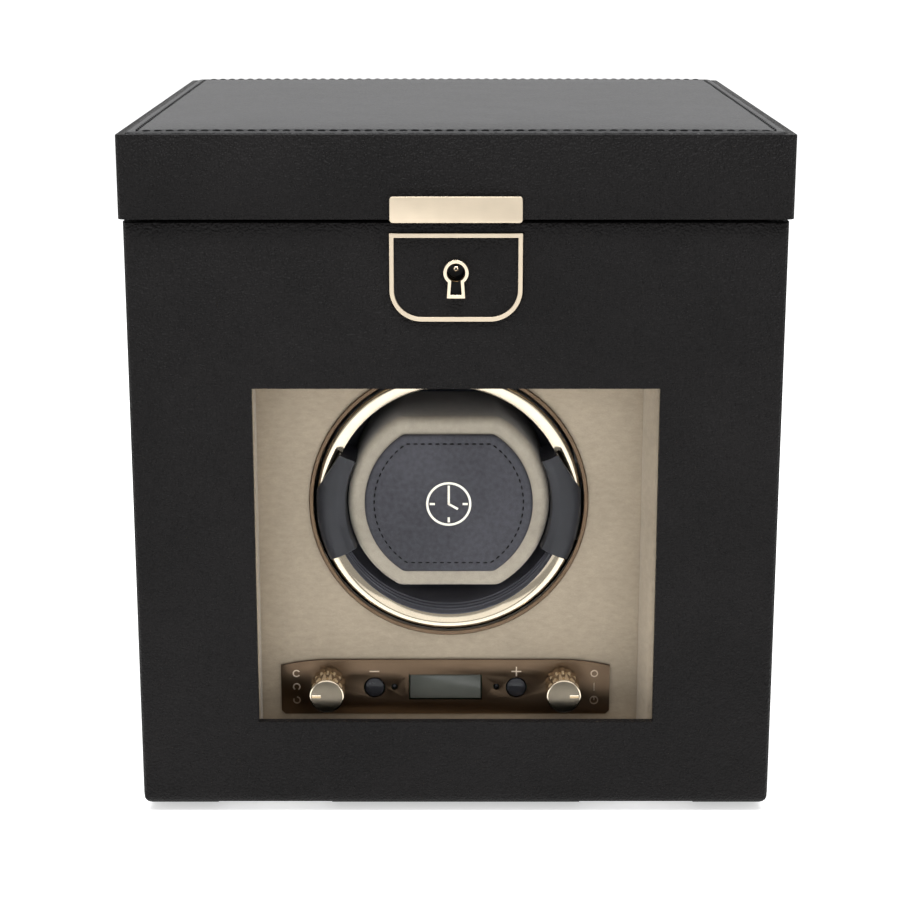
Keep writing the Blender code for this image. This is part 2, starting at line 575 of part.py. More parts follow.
def make_controls(through):
    plate_y = (FASCIA_Y - GAP - PLATE_THICKNESS, FASCIA_Y - GAP)
    plate = add_piece("control_plate", "bronze", extruded(plate_outline(), plate_y))
    display_x = spread(DISPLAY_HALF_WIDTH, CONTROL_X)
    display_z = (DISPLAY_BOTTOM, DISPLAY_TOP)
    cut(plate, block(display_x, through, display_z))
    add_piece("display_window", "display",
              block((display_x[0] + GAP, display_x[1] - GAP), (FASCIA_Y - 0.8 * MM, FASCIA_Y + 1.5 * MM),
                    (display_z[0] + GAP, display_z[1] - GAP)))
    board_y = (FASCIA_Y + 10 * MM, FASCIA_Y + 11.6 * MM)
    board = add_piece("control_board", "board",
                      block(spread(PLATE_HALF_WIDTH - 6 * MM, CONTROL_X), board_y, (PLATE_BOTTOM, PLATE_TOP)))
    for side, name, sign in (("left", "direction", -1), ("right", "power", 1)):
        led = (CONTROL_X + sign * LED_SPACING, BUTTON_Z + 0.2 * MM)
        cut(plate, rod("Y", led, 1.1 * MM, through, 12))
        lens_y = (FASCIA_Y - 0.9 * MM, board_y[0] - GAP)
        add_piece("led_lens_" + side, "dark_plastic", rod("Y", led, 0.8 * MM, lens_y, 12))
        knob_x = CONTROL_X + sign * KNOB_SPACING
        cut(plate, rod("Y", (knob_x, KNOB_Z), 2.4 * MM, through))
        make_knob("knob_" + name, knob_x, plate_y[0] - GAP, math.copysign(1, knob_x))
        body = block(spread(5.5 * MM, knob_x), (FASCIA_Y + 2 * MM, board_y[0] - GAP), spread(5 * MM, KNOB_Z))
        switch = add_piece("switch_" + name, "dark_plastic", body)
        cut(switch, rod("Y", (knob_x, KNOB_Z), 2.1 * MM + GAP, (FASCIA_Y, board_y[0] - 2 * MM)))
    for name, sign in (("button_minus", -1), ("button_plus", 1)):
        centre = (CONTROL_X + sign * BUTTON_SPACING, BUTTON_Z)
        cut(plate, rod("Y", centre, BUTTON_RADIUS + GAP, through))
        cap_y = (FASCIA_Y - 1.9 * MM, board_y[0] - 1.5 * MM)
        add_piece(name, "dark_plastic", rod("Y", centre, BUTTON_RADIUS, cap_y),
                  (centre[0], FASCIA_Y, centre[1]))


def make_knob(name, x, back, pointer):
    """A round knob with two rows of scallops and a notch, on the left of its face if pointer is -1."""
    front = back - KNOB_LENGTH
    stem = rod("Y", (x, KNOB_Z), 2.1 * MM, (back - 1 * MM, FASCIA_Y + 6 * MM))
    knob = add_piece(name, "gold", stem, (x, back, KNOB_Z))
    scallops = 12
    for near, far in ((front + 1.4 * MM, front + 6.2 * MM), (front + 7.0 * MM, back)):
        outline = []
        for step in range(scallops * 4):
            angle = 2 * math.pi * step / (scallops * 4)
            radius = KNOB_RADIUS - SCALLOP_DEPTH * (1 - math.cos(angle * scallops)) / 2
            outline.append((x + radius * math.cos(angle), KNOB_Z + radius * math.sin(angle)))
        join(knob, extruded(outline, (near, far)))
    join(knob, rod("Y", (x, KNOB_Z), KNOB_RADIUS - 1 * MM, (front + 1 * MM, back - 0.5 * MM)))
    join(knob, rod("Y", (x, KNOB_Z), KNOB_RADIUS - 0.2 * MM, (front, front + 1.5 * MM)))
    notch = sorted((x + pointer * 1.5 * MM, x + pointer * 7 * MM))
    cut(knob, block(notch, (front - 1 * MM, front + 0.7 * MM), spread(0.6 * MM, KNOB_Z)))


def cuff_outline(inset):
    """Round about the drum's axis, with flats above and below."""
    radius = CUFF_RADIUS - inset
    reach = math.degrees(math.asin((CUFF_HALF_HEIGHT - inset) / radius))
    centre = (DRUM_X, DRUM_Z)
    return arc(centre, radius, -reach, reach, 10) + arc(centre, radius, 180 - reach, 180 + reach, 10)


def sector(inner, outer, half_height, side, y):
    """A piece of a ring beside the drum's axis, between two heights; it is on the left if side is -1."""
    reach_out = math.degrees(math.asin(half_height / outer))
    reach_in = math.degrees(math.asin(half_height / inner))
    outline = arc((0, 0), outer, -reach_out, reach_out, 8) + arc((0, 0), inner, reach_in, -reach_in, 8)
    return extruded([(DRUM_X + side * x, DRUM_Z + z) for x, z in outline], y)


def make_drum():
    axis = (DRUM_X, DRUM_Z)
    pivot = (DRUM_X, FASCIA_Y, DRUM_Z)
    cup_y = (FASCIA_Y + GAP, FASCIA_Y + GAP + CUP_DEPTH)
    cup = add_piece("drum_cup", "dark_plastic", rod("Y", axis, CUP_RADIUS, cup_y, WIDE_STEPS), pivot)
    floor = 3 * MM
    cut(cup, rod("Y", axis, CUP_INNER, (cup_y[0] - 5 * MM, cup_y[1] - floor), WIDE_STEPS))
    cut(cup, rod("Y", axis, SHAFT_RADIUS + GAP, (cup_y[0], cup_y[1] + 5 * MM)))
    ring_y = (FASCIA_Y - 1.5 * MM, FASCIA_Y)
    ring = add_piece("drum_ring", "gold", rod("Y", axis, RING_OUTER, ring_y, WIDE_STEPS), pivot)
    cut(ring, rod("Y", axis, RING_INNER, (ring_y[0] - 5 * MM, ring_y[1] + 5 * MM), WIDE_STEPS))
    clip_inner = CUFF_RADIUS + 0.4 * MM
    for side, sign in (("left", -1), ("right", 1)):
        face_y = (ring_y[0] - 3.6 * MM, ring_y[0] - GAP)
        tongue_y = (ring_y[0] - 2 * MM, FASCIA_Y + 14 * MM)
        clip = add_piece("clip_" + side, "dark_plastic",
                         sector(clip_inner, RING_OUTER, CLIP_HALF_HEIGHT, sign, face_y), pivot)
        join(clip, sector(clip_inner, CUP_INNER - GAP, CLIP_HALF_HEIGHT - 1 * MM, sign, tongue_y))
    shaft_y = (cup_y[1] - floor, BRACKET_FAR + 6 * MM)
    add_piece("drum_shaft", "steel", rod("Y", axis, SHAFT_RADIUS, shaft_y), pivot)
    gear_y = (GEAR_NEAR, GEAR_FAR)
    wheel = extruded(gear_outline(axis, GEAR_TEETH, 180 / GEAR_TEETH), gear_y)
    gear = add_piece("drum_gear", "dark_plastic", wheel, pivot)
    cut(gear, rod("Y", axis, SHAFT_RADIUS + GAP, (GEAR_NEAR - 5 * MM, GEAR_FAR + 5 * MM)))
    cuff_y = (FASCIA_Y - 1 * MM, FASCIA_Y - 1 * MM + CUFF_DEPTH)
    add_piece("cuff_body", "suede", extruded(cuff_outline(0), cuff_y), pivot)
    patch_y = (cuff_y[0] - GAP - 0.8 * MM, cuff_y[0] - GAP)
    add_piece("cuff_patch", "patch", extruded(cuff_outline(PATCH_INSET), patch_y), pivot)


def make_drive():
    axis = (DRUM_X, DRUM_Z)
    motor_axis = (DRUM_X + GEAR_MODULE * (GEAR_TEETH + PINION_TEETH) / 2, DRUM_Z)
    bracket_y = (BRACKET_NEAR, BRACKET_FAR)
    through = (BRACKET_NEAR - 5 * MM, BRACKET_FAR + 5 * MM)
    bearing_radius = 5.5 * MM
    bracket_z = (DRUM_Z - 30 * MM, DRUM_Z + 20 * MM)
    bracket = add_piece("motor_bracket", "steel",
                        block(spread(HOUSING_HALF - 3.1 * MM, DRUM_X), bracket_y, bracket_z))
    cut(bracket, rod("Y", axis, bearing_radius + GAP, through))
    cut(bracket, rod("Y", motor_axis, 2 * MM, through, 12))
    bearing_y = (BRACKET_NEAR - 1 * MM, BRACKET_FAR + 3 * MM)
    bearing = add_piece("drum_bearing", "gold", rod("Y", axis, bearing_radius, bearing_y))
    join(bearing, rod("Y", axis, 7.5 * MM, (BRACKET_FAR + GAP, BRACKET_FAR + 2 * MM)))
    cut(bearing, rod("Y", axis, SHAFT_RADIUS + GAP, through))
    motor_y = (BRACKET_FAR + GAP, BRACKET_FAR + GAP + MOTOR_LENGTH)
    motor = add_piece("motor", "steel", rod("Y", motor_axis, MOTOR_RADIUS, motor_y))
    cut(motor, rod("Y", motor_axis, 1 * MM + GAP, (BRACKET_NEAR, BRACKET_FAR + 4 * MM), 12))
    wheel = extruded(gear_outline(motor_axis, PINION_TEETH, 0), (GEAR_NEAR, GEAR_FAR))
    pinion = add_piece("motor_pinion", "gold", wheel, (motor_axis[0], GEAR_NEAR, motor_axis[1]))
    join(pinion, rod("Y", motor_axis, 1 * MM, (GEAR_FAR - 2 * MM, BRACKET_FAR + 3 * MM), 12))
    bottom = CASE_BOTTOM + CASE_WALL + GAP
    wall = 2.5 * MM
    near = FASCIA_Y + FASCIA_THICKNESS + GAP
    housing = add_piece("module_housing", "dark_plastic",
                        block(spread(HOUSING_HALF, DRUM_X), (near, HOUSING_FAR), (bottom, BAY_TOP)))
    cut(housing, block(spread(HOUSING_HALF - wall, DRUM_X), (near - wall, HOUSING_FAR - wall),
                       (bottom + wall, BAY_TOP - wall)))


make_case()
make_door()
make_lid()
make_storage()
make_bay()
make_drum()
make_drive()
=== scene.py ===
"""A watch winder box with its leather, suede, metal and glass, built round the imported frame."""

import json
import math

import bmesh
import bpy
from mathutils import Matrix, Vector, noise


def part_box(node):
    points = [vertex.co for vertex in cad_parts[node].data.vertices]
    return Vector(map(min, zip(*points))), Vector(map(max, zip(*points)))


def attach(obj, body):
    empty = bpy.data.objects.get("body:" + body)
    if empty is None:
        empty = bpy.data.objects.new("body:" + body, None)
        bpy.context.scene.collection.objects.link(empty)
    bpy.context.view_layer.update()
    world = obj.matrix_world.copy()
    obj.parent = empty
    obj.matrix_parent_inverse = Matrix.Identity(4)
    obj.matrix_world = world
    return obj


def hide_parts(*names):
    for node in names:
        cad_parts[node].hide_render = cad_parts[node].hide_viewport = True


bl_info = {
    "name": "Watch Winder Box",
    "version": (1, 0, 0),
    "blender": (4, 5, 0),
    "location": "3D View > Sidebar > Winder",
    "description": "Covers the frame of a watch winder box with finished pieces",
    "category": "Add Mesh",
}

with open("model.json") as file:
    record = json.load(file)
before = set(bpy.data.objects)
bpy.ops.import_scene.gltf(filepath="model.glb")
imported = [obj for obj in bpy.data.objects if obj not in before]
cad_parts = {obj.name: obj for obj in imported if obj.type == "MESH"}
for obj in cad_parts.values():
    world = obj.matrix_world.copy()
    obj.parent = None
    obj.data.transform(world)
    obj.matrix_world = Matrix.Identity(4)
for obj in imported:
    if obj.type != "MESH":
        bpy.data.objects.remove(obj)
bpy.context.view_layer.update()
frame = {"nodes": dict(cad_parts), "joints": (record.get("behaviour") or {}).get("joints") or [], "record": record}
NODES = frame["nodes"]

MM = 0.001
WELD = 1e-7  # closer points are one point
BODY_OF = {node: body for body, nodes in frame["record"]["behaviour"]["bodies"].items() for node in nodes}


def joint_place(name):
    """A hinge's place, from the frame."""
    return Vector(next(joint["pos_m"] for joint in frame["joints"] if joint["name"] == name))


DRUM = joint_place("drum_spin")
KEY = joint_place("lock_turn")
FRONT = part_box("door_panel")[0].y

LENS = 86.0
CAMERA_SPOT = (-1.8 * MM, FRONT - 640 * MM, 283 * MM)
CAMERA_FALL = 14.3  # degrees below level
LAMPS = (  # name, place, target, width and height in metres, watts
    ("top_softbox", (0, -0.1, 1.6), (0, 0, 0), (1.5, 1.5), 15),
    ("top_strip", (0, -0.28, 1.0), (0, -0.1, 0.2), (1.3, 0.16), 9),
    ("back_softbox", (0, 7.6, 2.9), (0, 0, 0.2), (12, 4.8), 165),
    ("front_softbox", (0.1, -2.5, 1.25), (0, 0, 0.1), (3.0, 1.5), 13),
    ("left_strip", (-1.3, -0.9, 0.6), (0, 0, 0.12), (0.4, 1.2), 0.8),
)


# ---------------------------------------------------------------- settings


class WinderColours(bpy.types.PropertyGroup):
    """Colours of the box's finishes."""

    def colour(label, description, value):
        return bpy.props.FloatVectorProperty(
            name=label, description=description, default=value, subtype="COLOR", size=3, min=0, max=1)

    leather: colour("Leather", "Grained leather of the case, door and lid", (0.0060, 0.0054, 0.0055))
    panel: colour("Panel leather", "Leather of the padded panel on the lid", (0.011, 0.011, 0.012))
    patch: colour("Patch leather", "Smooth leather of the cuff's patch", (0.052, 0.051, 0.060))
    suede: colour("Suede", "Lining of the bay, the tray and the lid", (0.44, 0.362, 0.272))
    cuff: colour("Cuff suede", "Suede of the cuff and the watch pillows", (0.42, 0.37, 0.30))
    gold: colour("Gold", "Pale gold plate of the lock, ring and knobs", (0.76, 0.65, 0.50))
    bronze: colour("Bronze", "Dark bronze plate of the controls", (0.130, 0.088, 0.057))
    plastic: colour("Plastic", "Dark grey plastic of the drum and clips", (0.026, 0.026, 0.031))
    felt: colour("Felt", "Felt under the base", (0.008, 0.008, 0.008))
    thread: colour("Thread", "Thread of the seams", (0.003, 0.003, 0.004))


class WinderSizes(bpy.types.PropertyGroup):
    """Sizes of the fine pieces."""

    def length(label, description, value):
        return bpy.props.FloatProperty(
            name=label, description=description, default=value, unit="LENGTH", min=0, precision=5)

    grain: length("Leather grain", "Width of one pebble of the leather's grain", 0.75 * MM)
    stitch_pitch: length("Stitch pitch", "Distance from one stitch to the next on the lid", 3.5 * MM)
    stitch_gap: length("Stitch gap", "Bare leather between two stitches on the lid", 1.0 * MM)
    panel_roll: length("Panel roll", "Radius of the lid panel's rolled edge", 0.9 * MM)
    panel_crown: length("Panel crown", "How far the lid panel swells in the middle", 1.2 * MM)
    seam_inset: length("Seam inset", "Distance of the lid's seam from the panel's edge", 2.8 * MM)
    patch_pitch: length("Patch stitch pitch", "Distance from one stitch to the next on the patch", 2.3 * MM)
    pillow_cap: length("Pillow swell", "The most that a padded piece swells", 2.2 * MM)


def colours():
    return bpy.context.scene.winder_colours


def sizes():
    return bpy.context.scene.winder_sizes


# ---------------------------------------------------------------- material nodes


def grow(tree, kind, settings=None, **inputs):
    """A node with its settings and inputs."""
    made = tree.nodes.new(kind)
    for key, value in (settings or {}).items():
        setattr(made, key, value)
    set_inputs(tree, made, **inputs)
    return made


def feed(tree, socket, value):
    """Link the input if the value is a socket, and set it if it isn't."""
    if isinstance(value, bpy.types.NodeSocket):
        tree.links.new(value, socket)
    else:
        socket.default_value = value


def set_inputs(tree, node, **inputs):
    for key, value in inputs.items():
        feed(tree, node.inputs[key.replace("_", " ")], value)


def new_material(name):
    material = bpy.data.materials.new(name)
    material.use_nodes = True
    tree = material.node_tree
    return material, tree, tree.nodes["Principled BSDF"]


def place(tree, stretch=(1, 1, 1)):
    """Object coordinates in metres, stretched along the axes."""
    where = grow(tree, "ShaderNodeTexCoord").outputs["Object"]
    if tuple(stretch) == (1, 1, 1):
        return where
    return grow(tree, "ShaderNodeMapping", Vector=where, Scale=stretch).outputs["Vector"]


def noise_of(tree, where, width, detail=2.0, roughness=0.5):
    """Noise whose features are about as wide as width."""
    return grow(tree, "ShaderNodeTexNoise", Vector=where, Scale=1 / width, Detail=detail,
                Roughness=roughness).outputs["Fac"]


def spread_over(tree, factor, low, high, start=0.3, end=0.7):
    """A number that goes from low to high as the factor goes from start to end."""
    return grow(tree, "ShaderNodeMapRange", Value=factor, From_Min=start, From_Max=end, To_Min=low,
                To_Max=high).outputs["Result"]


def blend_colours(tree, factor, low, high):
    ramp = grow(tree, "ShaderNodeValToRGB", Fac=factor)
    ramp.color_ramp.elements[0].color = (*low, 1)
    ramp.color_ramp.elements[0].position = 0.3
    ramp.color_ramp.elements[1].color = (*high, 1)
    ramp.color_ramp.elements[1].position = 0.7
    return ramp.outputs["Color"]


def shade(colour, share):
    return tuple(min(1.0, channel * share) for channel in colour)


def calculate(tree, kind, operation, *values):
    """The result of a math node on sockets or plain values."""
    made = grow(tree, kind, {"operation": operation})
    for socket, value in zip(made.inputs, values):
        feed(tree, socket, value)
    return made.outputs[0]


def sum_of(tree, *parts):
    """A weighted sum of sockets, given as (socket, weight) pairs."""
    total = None
    for socket, weight in parts:
        scaled = calculate(tree, "ShaderNodeMath", "MULTIPLY", socket, weight)
        total = scaled if total is None else calculate(tree, "ShaderNodeMath", "ADD", total, scaled)
    return total


def bump(tree, height, depth):
    return grow(tree, "ShaderNodeBump", Height=height, Distance=depth, Strength=1.0).outputs["Normal"]


def leather(name, colour, grain, depth, rough=(0.36, 0.60), specular=0.11):
    """Pebbled leather: rounded cells with creases between them, fine pores and a slow change of tone."""
    material, tree, shader = new_material(name)
    where = place(tree)
    drift = grow(tree, "ShaderNodeTexNoise", Vector=where, Scale=0.6 / grain, Detail=2.0).outputs["Color"]
    moved = grow(tree, "ShaderNodeVectorMath", {"operation": "SCALE"}, Scale=grain * 1.2)
    tree.links.new(drift, moved.inputs[0])
    warped = calculate(tree, "ShaderNodeVectorMath", "ADD", where, moved.outputs[0])
    cells = grow(tree, "ShaderNodeTexVoronoi", {"feature": "SMOOTH_F1"}, Vector=warped,
                 Scale=1 / grain, Smoothness=0.35).outputs["Distance"]
    fine = noise_of(tree, where, grain * 0.28, 3.0, 0.6)
    broad = noise_of(tree, where, 28 * MM, 3.0)
    middle = noise_of(tree, where, grain * 3.4, 2.0)
    height = sum_of(tree, (cells, -1.0), (fine, 0.35), (middle, 0.55))
    tone = sum_of(tree, (broad, 0.35), (fine, 0.40), (middle, 0.25))
    set_inputs(tree, shader, Base_Color=blend_colours(tree, tone, shade(colour, 0.50), shade(colour, 1.75)),
               Roughness=spread_over(tree, sum_of(tree, (fine, 0.7), (middle, 0.3)), *rough),
               Specular_IOR_Level=specular, Normal=bump(tree, height, depth))
    return material


def suede(name, colour, nap=0.35 * MM, depth=0.10 * MM, stretch=(1, 1, 1), sheen=0.25):
    """Napped suede: short hair that catches the light in soft patches."""
    material, tree, shader = new_material(name)
    where = place(tree, stretch)
    hair = noise_of(tree, where, nap, 4.0, 0.65)
    tuft = noise_of(tree, where, nap * 6, 3.0)
    brushed = noise_of(tree, place(tree), 22 * MM)
    tone = sum_of(tree, (hair, 0.42), (tuft, 0.33), (brushed, 0.25))
    set_inputs(tree, shader, Base_Color=blend_colours(tree, tone, shade(colour, 0.80), shade(colour, 1.16)),
               Roughness=spread_over(tree, hair, 0.82, 0.98), Specular_IOR_Level=0.15,
               Sheen_Weight=sheen, Sheen_Roughness=0.5,
               Normal=bump(tree, sum_of(tree, (hair, 1.0), (tuft, 0.6)), depth))
    return material


def metal(name, colour, rough=(0.08, 0.16), stretch=(1, 1, 1), scratch=0.25 * MM, depth=0.002 * MM,
          wave=0.006 * MM):
    """Plated metal: a polished or brushed surface with faint scratches and a slow wave."""
    material, tree, shader = new_material(name)
    fine = noise_of(tree, place(tree, stretch), scratch, 3.0, 0.6)
    slow = noise_of(tree, place(tree), 6 * MM, 1.0)
    worn = noise_of(tree, place(tree), 2.2 * MM, 4.0, 0.6)
    set_inputs(tree, shader, Metallic=1.0,
               Base_Color=blend_colours(tree, sum_of(tree, (slow, 0.6), (fine, 0.4)), shade(colour, 0.93),
                                        shade(colour, 1.04)),
               Roughness=spread_over(tree, sum_of(tree, (fine, 0.6), (worn, 0.4)), *rough),
               Normal=bump(tree, sum_of(tree, (fine, depth / wave), (slow, 1.0)), wave))
    return material


def plastic(name, colour, rough=(0.36, 0.46), texture=0.3 * MM, depth=0.004 * MM, specular=0.4):
    """Moulded plastic with a fine spark-eroded texture."""
    material, tree, shader = new_material(name)
    fine = noise_of(tree, place(tree), texture, 3.0)
    slow = noise_of(tree, place(tree), 9 * MM, 2.0)
    set_inputs(tree, shader, Base_Color=blend_colours(tree, slow, shade(colour, 0.88), shade(colour, 1.12)),
               Roughness=spread_over(tree, fine, *rough), Specular_IOR_Level=specular,
               Normal=bump(tree, fine, depth))
    return material


def pane(name):
    """Clear glass: all light goes through it, and it mirrors the room only where it is seen at a glance."""
    material, tree, shader = new_material(name)
    set_inputs(tree, shader, Base_Color=(0.9, 0.9, 0.9, 1), Metallic=1.0,
               Roughness=spread_over(tree, noise_of(tree, place(tree), 14 * MM, 3.0), 0.01, 0.03))
    clear = grow(tree, "ShaderNodeBsdfTransparent", Color=(0.985, 0.99, 0.99, 1))
    backfacing = grow(tree, "ShaderNodeNewGeometry").outputs["Backfacing"]
    outer_face = spread_over(tree, backfacing, 1.0, 0.0, start=0.0, end=1.0)
    fresnel = grow(tree, "ShaderNodeFresnel", IOR=1.45).outputs["Fac"]
    glance = spread_over(tree, fresnel, 0.0, 0.6, start=0.06, end=0.7)
    mirrored = calculate(tree, "ShaderNodeMath", "MULTIPLY", glance, outer_face)
    mixed = grow(tree, "ShaderNodeMixShader", Fac=mirrored)
    tree.links.new(clear.outputs[0], mixed.inputs[1])
    tree.links.new(shader.outputs[0], mixed.inputs[2])
    tree.links.new(mixed.outputs[0], tree.nodes["Material Output"].inputs["Surface"])
    return material


def circuit(name):
    """A lacquered circuit board with faint tracks."""
    material, tree, shader = new_material(name)
    tracks = grow(tree, "ShaderNodeTexBrick", Vector=place(tree), Scale=180.0, Mortar_Size=0.03,
                  Color1=(0.012, 0.075, 0.030, 1), Color2=(0.014, 0.090, 0.036, 1),
                  Mortar=(0.03, 0.16, 0.07, 1))
    set_inputs(tree, shader, Base_Color=tracks.outputs["Color"], Roughness=0.35, Coat_Weight=0.4,
               Coat_Roughness=0.12)
    return material


def make_finish(name):
    """One of the box's finishes, by name."""
    c = colours()
    s = sizes()
    makers = {
        "leather": lambda: leather("grained_leather", c.leather, s.grain, 0.60 * MM),
        "panel": lambda: leather("panel_leather", c.panel, s.grain * 1.15, 0.16 * MM, (0.42, 0.50), 0.30),
        "patch": lambda: leather("patch_leather", c.patch, s.grain * 0.6, 0.02 * MM, (0.5, 0.62), 0.2),
        "suede": lambda: suede("lining_suede", c.suede),
        "fascia": lambda: suede("fascia_suede", c.suede, 0.30 * MM, 0.07 * MM, (0.55, 1, 1.25)),
        "cuff": lambda: suede("cuff_suede", c.cuff, 0.30 * MM, 0.08 * MM),
        "felt": lambda: suede("base_felt", c.felt, 0.5 * MM, 0.2 * MM, sheen=0.1),
        "gold": lambda: metal("polished_gold", c.gold),
        "satin_gold": lambda: metal("satin_gold", shade(c.gold, 0.82), (0.44, 0.52), (0.06, 1, 1), 0.12 * MM,
                                    wave=0.002 * MM),
        "bronze": lambda: metal("polished_bronze", c.bronze, (0.30, 0.38), wave=0.001 * MM),
        "brass": lambda: metal("turned_brass", (0.26, 0.17, 0.085), (0.2, 0.32)),
        # blackened steel of the lock case, also used as painted shade inside the keyhole
        "dark_steel": lambda: metal("blackened_steel_and_painted_shade", (0.03, 0.03, 0.03), (0.4, 0.55)),
        # painted shade: the knob's own gold darkened to 0.22, standing in for the dark surroundings that the face
        # mirrors
        "knob_face_painted_shade": lambda: metal("knob_face_painted_shade", shade(c.gold, 0.22), (0.26, 0.34), wave=0.001 * MM),
        # painted highlight: the raised marks are made a much lighter bronze than the plate, standing in for the
        # light that their raised edges catch
        "mark": lambda: metal("raised_mark_painted_highlight", (0.52, 0.42, 0.33), (0.25, 0.35), wave=0.001 * MM),
        "steel": lambda: metal("brushed_steel", (0.56, 0.56, 0.57), (0.25, 0.4), (0.05, 1, 1), 0.15 * MM),
        "plastic": lambda: plastic("drum_plastic", c.plastic, specular=0.3),
        # painted light: the cup is the drum's dark plastic lightened 6.5 times, to make up for the shade deep in
        # the cup
        "cup": lambda: plastic("cup_plastic_painted_light", shade(c.plastic, 6.5), (0.42, 0.5), specular=0.3),
        "button": lambda: plastic("button_plastic", shade(c.plastic, 0.9), (0.20, 0.28), 2 * MM, 0.0, 0.4),
        "display": lambda: plastic("display_panel", (0.12, 0.124, 0.110), (0.12, 0.18), 4 * MM, 0.0, 0.3),
        "thread": lambda: suede("seam_thread", c.thread, 0.12 * MM, 0.05 * MM, sheen=0.2),
        "foil": lambda: metal("cream_foil", (0.80, 0.76, 0.66), (0.3, 0.42)),
        "glass": lambda: pane("clear_glass"),
        "board": lambda: circuit("circuit_board"),
    }
    return makers[name]()


FINISHES = {}


def finish_of(name):
    if name not in FINISHES:
        FINISHES[name] = make_finish(name)
    return FINISHES[name]


# ---------------------------------------------------------------- mesh tools


def to_object(name, shape):
    """A linked object with the bmesh's shape; the bmesh is used up."""
    mesh = bpy.data.meshes.new(name)
    shape.to_mesh(mesh)
    shape.free()
    made = bpy.data.objects.new(name, mesh)
    bpy.context.scene.collection.objects.link(made)
    return made


def add_piece(name, shape, body, finish, replaces=(), smooth=35):
    """A finished piece from a bmesh in the frame's coordinates, riding on a body."""
    bmesh.ops.remove_doubles(shape, verts=shape.verts, dist=WELD)
    bmesh.ops.recalc_face_normals(shape, faces=shape.faces)
    piece = to_object(name, shape)
    piece.data.materials.append(finish_of(finish))
    piece.data.shade_smooth()
    piece.data.set_sharp_from_angle(angle=math.radians(smooth))
    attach(piece, body)
    if replaces:
        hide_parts(*replaces)
    return piece


def node_piece(node, suffix, shape, finish, smooth=35):
    """A piece that stands for one node, on that node's body."""
    return add_piece(node + suffix, shape, BODY_OF[node], finish, (node,), smooth)


def soften(piece, width, segments=2, limit=35):
    """A live bevel on the piece's sharp edges."""
    bevel = piece.modifiers.new("soft_edges", "BEVEL")
    bevel.limit_method = "ANGLE"
    bevel.angle_limit = math.radians(limit)
    bevel.width = width
    bevel.segments = segments
    bevel.harden_normals = True


def merged(node):
    """A copy of a node's mesh with its triangles joined into flat faces."""
    shape = bmesh.new()
    shape.from_mesh(NODES[node].data)
    bmesh.ops.remove_doubles(shape, verts=shape.verts, dist=1e-6)
    bmesh.ops.dissolve_limit(shape, angle_limit=math.radians(0.5), verts=shape.verts, edges=shape.edges)
    return shape


def refine(node, finish, width=0.25 * MM, segments=2, suffix="_finished"):
    """The node's own shape with softened edges and a finish."""
    piece = to_object(node + suffix, merged(node))
    piece.data.materials.append(finish_of(finish))
    piece.data.shade_smooth()
    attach(piece, BODY_OF[node])
    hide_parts(node)
    soften(piece, width, segments)


def round_node(node):
    """A round node's low and high corners, the middle of its front and its radius."""
    low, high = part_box(node)
    middle = (low + high) / 2
    return low, high, Vector((middle.x, low.y, middle.z)), (high.x - low.x) / 2


def arc(centre, radius, start, end, steps):
    """Points on an arc in the XZ plane, from one angle in degrees to the other."""
    angles = [math.radians(start + (end - start) * i / steps) for i in range(steps + 1)]
    return [(centre[0] + radius * math.cos(a), centre[1] + radius * math.sin(a)) for a in angles]


def thicken(shape, faces, depth):
    """Make flat faces a solid, depth thick along Y."""
    grown = bmesh.ops.extrude_face_region(shape, geom=faces)
    moved = [item for item in grown["geom"] if isinstance(item, bmesh.types.BMVert)]
    bmesh.ops.translate(shape, vec=(0, depth, 0), verts=moved)
    return shape


def close_behind(shape, axis, level):
    """Pull an open sheet's rim to a level on an axis, and close it there."""
    rim = [edge for edge in shape.edges if edge.is_boundary]
    grown = bmesh.ops.extrude_edge_only(shape, edges=rim)
    for item in grown["geom"]:
        if isinstance(item, bmesh.types.BMVert):
            item.co[axis] = level
    bmesh.ops.edgeloop_fill(shape, edges=[edge for edge in shape.edges if edge.is_boundary])


def round_off(shape, edges, width, segments):
    bmesh.ops.bevel(shape, geom=edges, offset=width, segments=segments, profile=0.5, affect="EDGES",
                    material=-1)


def slab(outline, near, far, shape=None):
    """A closed outline of (x, z) points as a solid from y = near to y = far."""
    shape = shape or bmesh.new()
    face = shape.faces.new([shape.verts.new((x, near, z)) for x, z in outline])
    return thicken(shape, [face], far - near)


def framed(outer, inner, near, far):
    """A flat frame between two outlines with as many points each."""
    shape = bmesh.new()
    loops = []
    for outline in (outer, inner):
        verts = [shape.verts.new((x, near, z)) for x, z in outline]
        loops += [shape.edges.new((verts[i - 1], verts[i])) for i in range(len(verts))]
    bridge = bmesh.ops.bridge_loops(shape, edges=loops)
    return thicken(shape, bridge["faces"], far - near)


def bar(centre, radius, near, far, steps=24, shape=None):
    """A round bar along Y, at centre in X and Z."""
    shape = shape or bmesh.new()
    grown = bmesh.ops.create_cone(shape, cap_ends=True, segments=steps, radius1=radius, radius2=radius,
                                  depth=far - near)
    spot = Matrix.Translation((centre[0], (near + far) / 2, centre[1]))
    turn = Matrix.Rotation(-math.pi / 2, 4, "X")
    bmesh.ops.transform(shape, matrix=spot @ turn, verts=grown["verts"])
    return shape


def brick(low, high, shape=None):
    """A box between two corners."""
    shape = shape or bmesh.new()
    grown = bmesh.ops.create_cube(shape, size=1.0)
    low = Vector(low)
    high = Vector(high)
    scale = Matrix.Diagonal((*(high - low), 1))
    bmesh.ops.transform(shape, matrix=Matrix.Translation((low + high) / 2) @ scale, verts=grown["verts"])
    return shape


